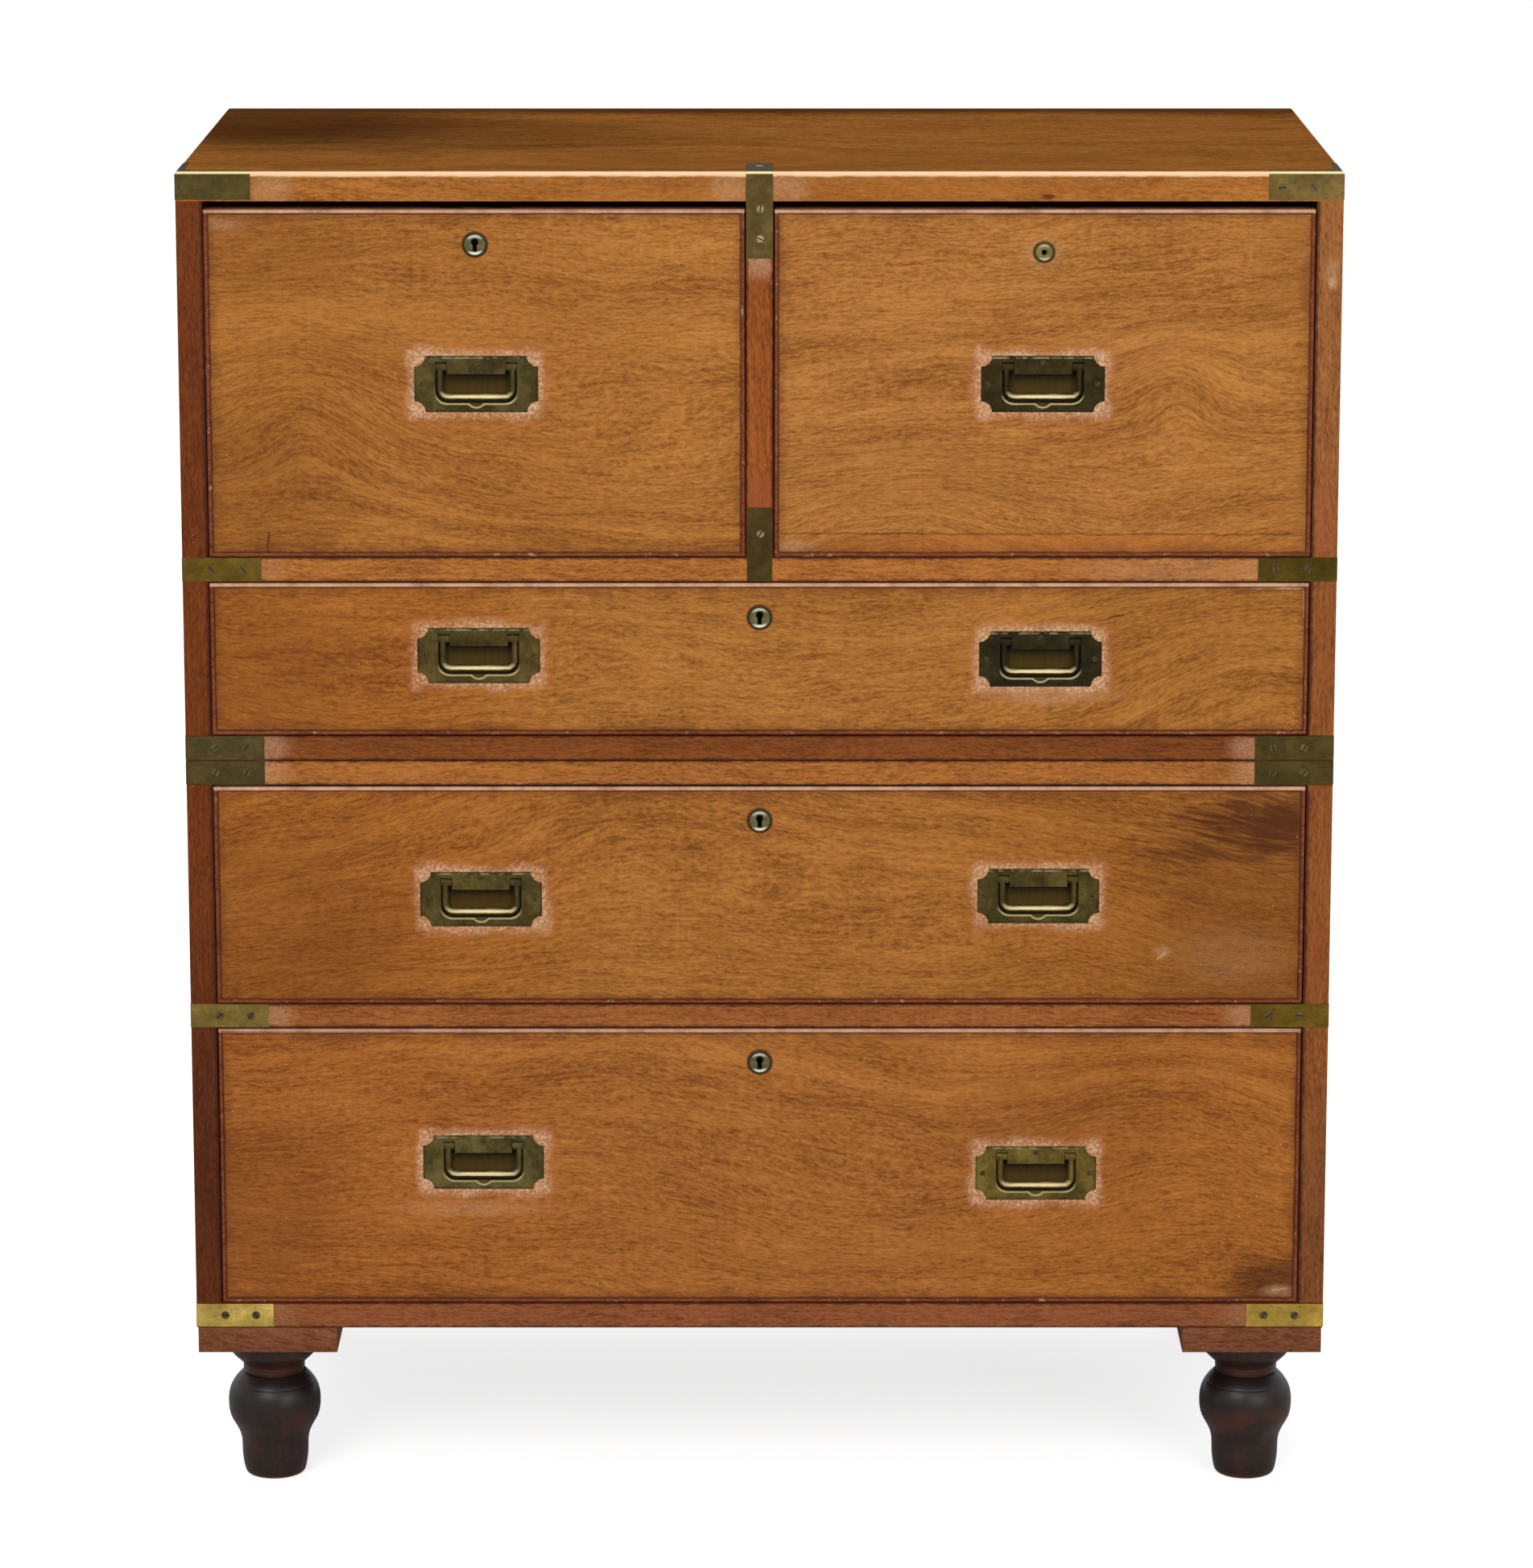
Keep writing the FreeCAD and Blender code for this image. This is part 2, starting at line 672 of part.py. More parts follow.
def bolt_mortise(name, x, ceiling):
    """A mortise above a lock for its bolt, with room all round."""
    half = d.bolt_width / 2 + d.mortise_gap
    near = BOLT_Y - d.mortise_gap
    far = BOLT_Y + d.bolt_thick + d.mortise_gap
    return bar(name, (x - half, x + half), (near, far), (ceiling - 0.5, ceiling + MORTISE_DEPTH))


BOLT_Y = FRONT + 13.5
MORTISE_DEPTH = d.bolt_throw + 0.5

# lower section
lower_back = keep("lower_back_boards", back_boards("lower_back", LOWER_FLOOR, LOWER_CEILING))
lower_rail_blank = front_rail("lower_rail_blank", LOWER_RAIL)
lower_sides = [
    side_blank(f"lower_side_blank_{word}", side, LOWER_FLOOR, LOWER_CEILING,
               CASE_BASE + d.case_lap, JOINT - d.case_lap)
    for word, side in (("left", -1), ("right", 1))
]
for word, blank in zip(("left", "right"), lower_sides):
    fittings = [lower_back, lower_rail_blank, lower_straps]
    keep(f"lower_side_{word}", cut(f"lower_side_{word}_board", blank, fittings))
lower_top_blank = full_board("lower_top_blank", LOWER_CEILING, JOINT)
lower_mortise = bolt_mortise("middle_long_mortise", 0, LOWER_CEILING)
fittings = lower_sides + [lower_back, lower_straps, pegs, lower_mortise]
keep("lower_top_board", cut("lower_top", lower_top_blank, fittings))
lower_base_blank = full_board("lower_base_blank", CASE_BASE, LOWER_FLOOR)
keep("lower_base_board", cut("lower_base", lower_base_blank, lower_sides + [lower_back, lower_straps]))
rail_mortise = bolt_mortise("bottom_long_mortise", 0, LOWER_RAIL)
keep("lower_rail", cut("lower_rail_bar", lower_rail_blank, [lower_straps, rail_mortise]))
keep("lower_runners", runners("lower_runner", LOWER_RAIL, False))

# upper section
upper_back = keep("upper_back_boards", back_boards("upper_back", UPPER_FLOOR, UPPER_CEILING))
upper_rail_blank = front_rail("upper_rail_blank", UPPER_RAIL)
upper_sides = [
    side_blank(f"upper_side_blank_{word}", side, UPPER_FLOOR, UPPER_CEILING,
               JOINT + d.case_lap, CASE_TOP - d.case_lap)
    for word, side in (("left", -1), ("right", 1))
]
for word, blank in zip(("left", "right"), upper_sides):
    fittings = [upper_back, upper_rail_blank, upper_straps]
    keep(f"upper_side_{word}", cut(f"upper_side_{word}_board", blank, fittings))
partition_x = (-d.partition_thick / 2, d.partition_thick / 2)
partition_z = (UPPER_RAIL + d.rail_thick, UPPER_CEILING + d.partition_tongue)
partition_blank = bar("partition_blank", partition_x, (FRONT, INNER_BACK), partition_z)
keep("centre_partition", cut("partition", partition_blank, [upper_straps]))


def rounded_top():
    """The top board with its front and side edges worn round."""
    body = new_body("top_blank")
    sketch = new_sketch(body, "top_outline", "XY_Plane")
    outline(sketch, [(LEFT, FRONT), (RIGHT, FRONT), (RIGHT, BACK), (LEFT, BACK)])
    slab = pad(body, sketch, d.top_thick)
    DOC.recompute()
    ridge = d.top_thick.value
    front_y = FRONT.value
    side_x = RIGHT.value
    front_edge = edges_where(slab.Shape, lambda p: abs(p.z - ridge) < 0.01 and abs(p.y - front_y) < 0.01)
    side_edges = edges_where(slab.Shape, lambda p: abs(p.z - ridge) < 0.01 and abs(abs(p.x) - side_x) < 0.01)
    dress(body, "Fillet", slab, front_edge + side_edges, "Radius", d.arris_round)
    place(body, 0, 0, UPPER_CEILING)
    return body


top_mortises = [
    bolt_mortise("top_left_mortise", -d.handle_spread, UPPER_CEILING),
    bolt_mortise("top_right_mortise", d.handle_spread, UPPER_CEILING),
]
fittings = upper_sides + [upper_back, upper_straps, partition_blank] + top_mortises
keep("upper_top_board", cut("upper_top", rounded_top(), fittings))
upper_bottom_blank = full_board("upper_bottom_blank", JOINT, UPPER_FLOOR)
fittings = upper_sides + [upper_back, upper_straps] + peg_holes
keep("upper_bottom_board", cut("upper_bottom", upper_bottom_blank, fittings))
upper_mortise = bolt_mortise("upper_long_mortise", 0, UPPER_RAIL)
keep("upper_rail", cut("upper_rail_bar", upper_rail_blank, [upper_straps, upper_mortise]))
keep("upper_runners", runners("upper_runner", UPPER_RAIL, True))

STOP_X = RIGHT_INNER - 120
keep("lower_drawer_stops", drawer_stops("lower_stop", [
    (-STOP_X, LOWER_FLOOR), (STOP_X, LOWER_FLOOR),
    (-STOP_X, LOWER_RAIL + d.rail_thick), (STOP_X, LOWER_RAIL + d.rail_thick),
]))
TOP_STOP_X = 90
keep("upper_drawer_stops", drawer_stops("upper_stop", [
    (-STOP_X, UPPER_FLOOR), (STOP_X, UPPER_FLOOR),
    (-STOP_X, UPPER_RAIL + d.rail_thick), (as_size(-TOP_STOP_X), UPPER_RAIL + d.rail_thick),
    (as_size(TOP_STOP_X), UPPER_RAIL + d.rail_thick), (STOP_X, UPPER_RAIL + d.rail_thick),
]))


# ---------------------------------------------------------------- flush handles
PLATE_FACE = FRONT - d.brass_proud
PIVOT_Y = PLATE_FACE + d.barrel_radius - 0.2
KNUCKLE_LENGTH = 9.05
HOLLOW_STEPS = 4
WELL_STEPS = 3
NOTCH_STEPS = 5
NOTCH_SLOPE = 35
KNUCKLE_STEPS = 9
BOW_STEPS = 4


def handle_envelope(name, x, z):
    """The outside of a handle casting: a plate with hollow corners and a cup behind it."""
    body = new_body(f"{name}_plate")
    sketch = new_sketch(body, f"{name}_plate_outline", "XZ_Plane")
    corners = []
    for across, up, start in ((-1, -1, 90), (1, -1, 180), (1, 1, 270), (-1, 1, 0)):
        centre = (across * d.plate_width / 2, up * d.plate_height / 2)
        corners += round_points(centre, d.plate_scoop, start, start - 90, HOLLOW_STEPS)
    outline(sketch, corners)
    pad(body, sketch, d.plate_thick, reverse=True)
    place(body, x, PLATE_FACE, z)
    half_cup = d.cup_width / 2
    cup = bar(f"{name}_cup", (x - half_cup, x + half_cup), (PLATE_FACE + 1, PLATE_FACE + d.cup_depth),
              (z - d.well_bottom - 1.6, z + d.pivot_rise + d.barrel_radius + 2.2))
    return fuse(f"{name}_envelope", [body, cup])


def handle_plate(name, envelope, x, z):
    """The casting with its bail recess, knuckle slots, pivot holes and thumb notch."""
    half = d.well_width / 2
    slot_top = d.pivot_rise + d.barrel_radius + d.barrel_gap
    tongue = half - KNUCKLE_LENGTH - 2 * d.barrel_gap
    turn = d.well_radius
    well = new_body(f"{name}_well")
    sketch = new_sketch(well, f"{name}_well_outline", "XZ_Plane")
    corners = round_points((turn - half, turn - d.well_bottom), turn, 180, 270, WELL_STEPS)
    corners += round_points((half - turn, turn - d.well_bottom), turn, 270, 360, WELL_STEPS)
    corners += [(half, slot_top), (tongue, slot_top), (tongue, d.well_top)]
    corners += [(-tongue, d.well_top), (-tongue, slot_top), (-half, slot_top)]
    outline(sketch, corners)
    pad(well, sketch, d.well_depth + 1, reverse=True)
    place(well, x, PLATE_FACE - 1, z)

    notch = new_body(f"{name}_notch")
    drawing = new_sketch(notch, f"{name}_notch_outline", "XZ_Plane")
    outline(drawing, round_points((0, -d.notch_drop), d.notch_radius, 200, 340, NOTCH_STEPS))
    scoop = pad(notch, drawing, d.notch_depth, reverse=True)
    scoop.TaperAngle = -NOTCH_SLOPE
    place(notch, x, PLATE_FACE - 0.1, z)

    hole = d.pin_radius / math.cos(math.pi / 6) + d.pin_clearance
    start = half - 0.3
    holes = [pivot(f"{name}_hole_{word}", hole, x + side * start, z + d.pivot_rise, side, 0.6)
             for word, side in (("left", -1), ("right", 1))]
    return cut(f"{name}_casting", envelope, [well, notch] + holes)


def pivot(name, radius, x, z, side, extra):
    """A six-sided stub that runs outwards from a knuckle; the holes for them have the same form."""
    item = DOC.addObject("Part::Prism", name)
    item.Polygon = 6
    bind(item, "Circumradius", radius)
    bind(item, "Height", d.pin_length + extra)
    item.Placement = FreeCAD.Placement(FreeCAD.Vector(), FreeCAD.Rotation(FreeCAD.Vector(0, 1, 0), side * 90))
    place(item, x, PIVOT_Y, z)
    return item


def knuckle(name, x, z, side):
    """The round end of a bail's arm, which turns in its slot."""
    body = new_body(name)
    sketch = new_sketch(body, f"{name}_outline", "YZ_Plane")
    radius = d.barrel_radius
    hidden = round_points((0, 0), radius, 180, 450, KNUCKLE_STEPS)
    quarter = radius.value * (1 - math.sqrt(0.5))
    outline(sketch, hidden[-1:] + hidden[:-1], {0: quarter})
    pad(body, sketch, KNUCKLE_LENGTH)
    outer_end = d.well_width / 2 - d.barrel_gap
    start = -outer_end if side < 0 else outer_end - KNUCKLE_LENGTH
    place(body, x + start, PIVOT_Y, z + d.pivot_rise)
    return body


def bail(name, x, z):
    """A swinging handle: a bevelled U with two knuckles and a pivot at each end."""
    body = new_body(f"{name}_bow")
    sketch = new_sketch(body, f"{name}_bow_outline", "XZ_Plane")
    half = d.bail_width / 2
    inner = half - d.bail_bar
    top = d.pivot_rise
    grip_low = -(d.well_bottom - 2.1)
    grip_top = grip_low + d.bail_grip
    wide = d.bail_round
    tight = d.bail_round - d.bail_bar
    corners = [(-half, top)]
    corners += round_points((wide - half, grip_low + wide), wide, 180, 270, BOW_STEPS)
    corners += round_points((half - wide, grip_low + wide), wide, 270, 360, BOW_STEPS)
    corners += [(half, top), (inner, top)]
    corners += round_points((inner - tight, grip_top + tight), tight, 0, -90, BOW_STEPS - 1)
    corners += round_points((tight - inner, grip_top + tight), tight, 270, 180, BOW_STEPS - 1)
    corners += [(-inner, top)]
    outline(sketch, corners)
    bow = pad(body, sketch, d.bail_bar, reverse=True)
    DOC.recompute()
    below = top.value - 0.01
    face_edges = edges_where(bow.Shape, lambda p: abs(p.y) < 0.01 and p.z < below)
    for width in (half.value, inner.value):
        face_edges += edges_where(bow.Shape, lambda p: abs(p.y) < 0.01 and abs(abs(p.x) - width) < 0.01)
    dress(body, "Chamfer", bow, sorted(set(face_edges)), "Size", d.bail_chamfer)
    place(body, x, PLATE_FACE - 0.2, z)
    pieces = [body]
    pin_start = d.well_width / 2 - d.barrel_gap - 0.5
    for word, side in (("left", -1), ("right", 1)):
        pieces.append(knuckle(f"{name}_knuckle_{word}", x, z, side))
        pieces.append(pivot(f"{name}_pin_{word}", d.pin_radius, x + side * pin_start, z + d.pivot_rise,
                            side, 0.5))
    return fuse(f"{name}_fused", pieces)


# ---------------------------------------------------------------- locks
def nose_radius(patent):
    """The lever lock at the top right has the smaller nose."""
    return d.nose_diameter / 2 * (0.84 if patent else 1)


def lock_nose(name, x, z, patent):
    """The round raised nose of a lock, with its keyhole."""
    body = new_body(f"{name}_nose")
    sketch = new_sketch(body, f"{name}_nose_profile", "YZ_Plane")
    radius = nose_radius(patent)
    proud = d.nose_proud
    root = d.front_thick - d.lock_case_depth
    bevel = d.nose_bevel
    profile = [(root, 0), (root, radius), (bevel - proud, radius), (-proud, radius - bevel), (-proud, 0)]
    outline(sketch, profile)
    turning = body.newObject("PartDesign::Revolution", f"{name}_nose_turning")
    turning.Profile = sketch
    turning.ReferenceAxis = (sketch, ["H_Axis"])
    turning.Angle = 360
    place(body, x, FRONT, z)
    start = FRONT - d.nose_proud - 1
    reach = d.nose_proud + 7
    if patent:
        lever_bore = rod(f"{name}_key_bore", d.lever_pin_radius, reach, x, start, z)
        return cut(f"{name}_nose_cut", body, [lever_bore])
    half_slot = d.key_bit_width / 2
    pin_z = z + 2.2
    bore = rod(f"{name}_key_bore", d.key_pin_radius, reach, x, start, pin_z)
    slot = bar(f"{name}_key_slot", (x - half_slot, x + half_slot), (start, start + reach),
               (z - d.key_bit_drop, pin_z))
    return cut(f"{name}_nose_cut", body, [bore, slot])


def lock_case(name, x, top):
    """Case, back plate and edge plate of a lock, hollow where the bolt runs."""
    half = d.lock_width / 2
    face = FRONT + d.front_thick
    back = face - d.lock_plate
    margin = 6
    case = bar(f"{name}_case", (x - half + margin, x + half - margin), (face - d.lock_case_depth, back),
               (top - d.lock_height, top - d.selvedge_thick / 2))
    plate = bar(f"{name}_plate", (x - half, x + half), (back, face), (top - d.lock_height, top))
    edge = bar(f"{name}_selvedge", (x - half, x + half), (face - d.lock_case_depth, face),
               (top - d.selvedge_thick, top))
    shell = fuse(f"{name}_shell", [case, plate, edge])
    half_bolt = d.bolt_width / 2 + d.bolt_gap
    channel = bar(f"{name}_channel", (x - half_bolt, x + half_bolt),
                  (BOLT_Y - d.bolt_gap, BOLT_Y + d.bolt_thick + d.bolt_gap),
                  (top - d.bolt_length - 1, top + 1))
    return cut(f"{name}_hollow", shell, [channel]), shell


def lock_bolt(name, x, top):
    """The bolt, drawn down flush with the edge plate."""
    half = d.bolt_width / 2
    return bar(name, (x - half, x + half), (BOLT_Y, BOLT_Y + d.bolt_thick),
               (top - d.bolt_length, top - 0.2))


# ---------------------------------------------------------------- drawers
def bead_frame(name, x, z):
    """A half-round bead round a drawer front, in four strips mitred at the corners."""
    body = new_body(f"{name}_frame")
    sketch = new_sketch(body, f"{name}_frame_outline", "XZ_Plane")
    thick = d.bead_thick
    outline(sketch, [(x[0], z[0]), (x[1], z[0]), (x[1], z[1]), (x[0], z[1])])
    inner = [(x[0] + thick, z[0] + thick), (x[1] - thick, z[0] + thick),
             (x[1] - thick, z[1] - thick), (x[0] + thick, z[1] - thick)]
    outline(sketch, inner)
    ring = pad(body, sketch, d.bead_proud + d.bead_depth, reverse=True)
    DOC.recompute()
    nose_edges = edges_where(ring.Shape, lambda p: abs(p.y) < 0.01)
    dress(body, "Chamfer", ring, nose_edges, "Size", thick * 0.3)
    place(body, 0, FRONT - d.bead_proud, 0)
    mitre = thick * 3
    quarters = {
        "top": [(x[0], z[1]), (x[0] + mitre, z[1] - mitre), (x[1] - mitre, z[1] - mitre), (x[1], z[1])],
        "bottom": [(x[0], z[0]), (x[0] + mitre, z[0] + mitre), (x[1] - mitre, z[0] + mitre), (x[1], z[0])],
        "left": [(x[0], z[0]), (x[0] + mitre, z[0] + mitre), (x[0] + mitre, z[1] - mitre), (x[0], z[1])],
        "right": [(x[1], z[0]), (x[1] - mitre, z[0] + mitre), (x[1] - mitre, z[1] - mitre), (x[1], z[1])],
    }
    strips = []
    for word, corners in quarters.items():
        wedge = new_body(f"{name}_wedge_{word}")
        drawing = new_sketch(wedge, f"{name}_wedge_{word}_outline", "XZ_Plane")
        outline(drawing, corners)
        pad(wedge, drawing, d.bead_proud + d.bead_depth + 2, reverse=True)
        place(wedge, 0, FRONT - d.bead_proud - 1, 0)
        strips.append(common(f"{name}_strip_{word}", body, wedge))
    return group(name, strips)


def drawer_side(name, x_low, z, near_count, far_count):
    """A drawer side: lapped dovetails in front, through dovetails behind."""
    body = new_body(name)
    sketch = new_sketch(body, f"{name}_outline", "YZ_Plane")
    shoulder = FRONT + d.front_thick
    tip = FRONT + d.drawer_lap
    rear = FRONT + d.drawer_length
    rear_shoulder = rear - d.drawer_back_thick
    low = z[0] + d.bottom_rise + d.bottom_thick
    near = tails(low, z[1], near_count, shoulder, tip, 0.74)
    far = tails(low, z[1], far_count, rear_shoulder, rear, 0.74)
    corners = [(shoulder, z[0]), (rear, z[0]), (rear, low), (rear_shoulder, low)] + far
    corners += [(rear_shoulder, z[1]), (shoulder, z[1])] + near[::-1]
    outline(sketch, corners)
    pad(body, sketch, d.lining_thick)
    place(body, x_low, 0, 0)
    return body


def build_drawer(name, x, z, floor, tail_counts, handles, lock_x, lock_fall, patent=False):
    """All the pieces of one drawer.

    x and z are the edges of its front, floor is the surface that its sides run on, and handles
    holds the centre and a short name of each handle.
    """
    top = z[1]
    front_y = (FRONT, FRONT + d.front_thick)
    beads = keep(f"{name}_cock_beads", bead_frame(f"{name}_beads", x, z))

    side_z = (floor + d.run_gap, top - d.side_drop)
    left = drawer_side(f"{name}_left_blank", x[0], side_z, *tail_counts)
    right = drawer_side(f"{name}_right_blank", x[1] - d.lining_thick, side_z, *tail_counts)
    bottom_low = side_z[0] + d.bottom_rise
    inside = (x[0] + d.lining_thick, x[1] - d.lining_thick)
    across = (inside[0] - d.groove_depth, inside[1] + d.groove_depth)
    rear = FRONT + d.drawer_length
    bottom = bar(f"{name}_bottom_board", across, (FRONT + d.front_thick - d.groove_depth, rear),
                 (bottom_low, bottom_low + d.bottom_thick))
    back_blank = bar(f"{name}_back_blank", x, (rear - d.drawer_back_thick, rear),
                     (bottom_low + d.bottom_thick, side_z[1] - 3))
    back = cut(f"{name}_back", back_blank, [left, right])
    grooved = [cut(f"{name}_side_{word}", blank, [bottom])
               for word, blank in (("left", left), ("right", right))]
    keep(f"{name}_box", group(f"{name}_linings", grooved + [back, bottom]))

    envelopes = []
    castings = []
    for word, centre_x, centre_z in handles:
        label = f"{name}_bail_{word}" if word else f"{name}_bail"
        envelope = handle_envelope(f"{label}_housing", centre_x, centre_z)
        envelopes.append(envelope)
        castings.append(handle_plate(f"{label}_housing", envelope, centre_x, centre_z))
        keep(label, bail(f"{label}_item", centre_x, centre_z))
    keep(f"{name}_handle_plates", group(f"{name}_castings", castings))

    keyhole = top - lock_fall
    nose = lock_nose(f"{name}_lock", lock_x, keyhole, patent)
    case, shell = lock_case(f"{name}_lock", lock_x, top)
    keep(f"{name}_lock", group(f"{name}_lock_set", [nose, case]))
    keep(f"{name}_lock_bolt", lock_bolt(f"{name}_bolt", lock_x, top))

    face = bar(f"{name}_face", (x[0] + d.bead_thick, x[1] - d.bead_thick), front_y,
               (z[0] + d.bead_thick, z[1] - d.bead_thick))
    rim = bar(f"{name}_rim", x, (FRONT + d.bead_depth, front_y[1]), z)
    blank = fuse(f"{name}_front_blank", [face, rim])
    nose_bore = rod(f"{name}_nose_bore", nose_radius(patent), d.front_thick + 2, lock_x, FRONT - 1, keyhole)
    tools = [left, right, bottom, nose_bore, shell] + envelopes
    keep(f"{name}_front", cut(f"{name}_front_board", blank, tools))


def front_span(low, high):
    """Edges of a drawer front in an opening between two uprights."""
    return (low + d.edge_gap, high - d.edge_gap)


def front_rise(floor, ceiling, gap):
    """Lower and upper edges of a drawer front in its opening."""
    return (floor + d.edge_gap, ceiling - gap)


TOP_FLOOR = UPPER_RAIL + d.rail_thick
MIDDLE_FLOOR = LOWER_RAIL + d.rail_thick
TOP_Z = front_rise(TOP_FLOOR, UPPER_CEILING, d.shrunk_gap)
SHALLOW_Z = front_rise(UPPER_FLOOR, UPPER_RAIL, d.top_gap)
MIDDLE_Z = front_rise(MIDDLE_FLOOR, LOWER_CEILING, d.top_gap)
BOTTOM_Z = front_rise(LOWER_FLOOR, LOWER_RAIL, d.top_gap)
FULL_X = front_span(LEFT_INNER, RIGHT_INNER)
LEFT_X = front_span(LEFT_INNER, partition_x[0])
RIGHT_X = front_span(partition_x[1], RIGHT_INNER)


def middle(pair):
    return (pair[0] + pair[1]) / 2


def handle_pair(z, left_fall, right_fall):
    """Two handles on a long drawer; the hand-cut recesses sit a little off its middle line."""
    return [("left", -d.handle_spread, middle(z) - left_fall),
            ("right", d.handle_spread, middle(z) - right_fall)]


build_drawer("top_left_drawer", LEFT_X, TOP_Z, TOP_FLOOR, (5, 3),
             [("", -d.handle_spread, middle(TOP_Z))], -d.handle_spread, d.lock_drop)
build_drawer("top_right_drawer", RIGHT_X, TOP_Z, TOP_FLOOR, (5, 3),
             [("", d.handle_spread, middle(TOP_Z))], d.handle_spread, d.patent_drop, patent=True)
build_drawer("upper_long_drawer", FULL_X, SHALLOW_Z, UPPER_FLOOR, (2, 2),
             handle_pair(SHALLOW_Z, -3.0, 0), as_size(0), d.lock_drop)
build_drawer("middle_long_drawer", FULL_X, MIDDLE_Z, MIDDLE_FLOOR, (3, 2),
             handle_pair(MIDDLE_Z, 3.5, 0.7), as_size(0), d.lock_drop)
build_drawer("bottom_long_drawer", FULL_X, BOTTOM_Z, LOWER_FLOOR, (4, 3),
             handle_pair(BOTTOM_Z, -3.4, 6.5), as_size(0), d.lock_drop)

# ---------------------------------------------------------------- check and write
DOC.recompute()
for item in DOC.Objects:
    if "Invalid" in item.State or "Error" in item.State:
        raise RuntimeError(f"{item.Label} did not rebuild: {item.State}")
for node, item in NODES.items():
    if item.Shape.isNull() or not item.Shape.isValid() or not item.Shape.Solids:
        raise RuntimeError(f"{node} has no valid solid")

os.makedirs("parts", exist_ok=True)
for node, item in NODES.items():
    item.Shape.exportStep(f"parts/{node}.step")
print(f"{len(NODES)} sub-parts, {sum(len(item.Shape.Solids) for item in NODES.values())} solids")
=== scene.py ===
"""Looks of the campaign chest: worn mahogany, aged brass and the small fittings.

Places and sizes are in millimetres, and MM turns them into Blender's metres. Every piece keeps its vertices
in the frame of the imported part, so one set of coordinates serves for geometry and for wear.
"""

import json
import math
import random
from functools import partialmethod

import bmesh
import bpy
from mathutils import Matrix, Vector

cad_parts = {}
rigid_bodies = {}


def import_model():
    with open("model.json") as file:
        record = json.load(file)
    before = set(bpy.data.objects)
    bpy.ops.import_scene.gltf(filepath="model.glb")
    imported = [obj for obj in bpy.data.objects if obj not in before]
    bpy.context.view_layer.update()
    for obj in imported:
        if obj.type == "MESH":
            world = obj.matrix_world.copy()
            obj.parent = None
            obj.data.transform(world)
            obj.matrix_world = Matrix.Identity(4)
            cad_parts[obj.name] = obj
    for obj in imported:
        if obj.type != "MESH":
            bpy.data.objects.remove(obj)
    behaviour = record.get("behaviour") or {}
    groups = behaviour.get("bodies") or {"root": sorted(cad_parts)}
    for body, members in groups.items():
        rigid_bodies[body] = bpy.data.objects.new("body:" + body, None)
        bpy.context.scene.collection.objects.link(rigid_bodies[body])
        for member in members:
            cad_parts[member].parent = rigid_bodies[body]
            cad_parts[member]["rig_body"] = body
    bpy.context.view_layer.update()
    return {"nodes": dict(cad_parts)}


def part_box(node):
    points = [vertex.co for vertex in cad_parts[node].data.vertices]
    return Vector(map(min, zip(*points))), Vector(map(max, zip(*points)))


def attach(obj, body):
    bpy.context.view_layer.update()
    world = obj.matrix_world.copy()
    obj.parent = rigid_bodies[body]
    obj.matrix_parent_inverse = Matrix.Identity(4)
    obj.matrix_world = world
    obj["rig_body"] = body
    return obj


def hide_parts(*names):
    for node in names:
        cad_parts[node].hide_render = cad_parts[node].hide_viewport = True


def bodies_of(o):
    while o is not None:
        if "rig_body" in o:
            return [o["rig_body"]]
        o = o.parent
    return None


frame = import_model()

MM = 0.001
NODES = frame["nodes"]


def node_box(name):
    """Lowest and highest corner of a CAD node."""
    low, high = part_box(name)
    return low / MM, high / MM


def body_of(node):
    """Name of the moving body that a CAD node belongs to."""
    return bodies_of(NODES[node])[0]


FRONT_Y = node_box("upper_side_left")[0].y
SIDE_X = node_box("upper_side_right")[1].x
TOP_Z = node_box("upper_top_board")[1].z
JOINT_Z = node_box("upper_bottom_board")[0].z


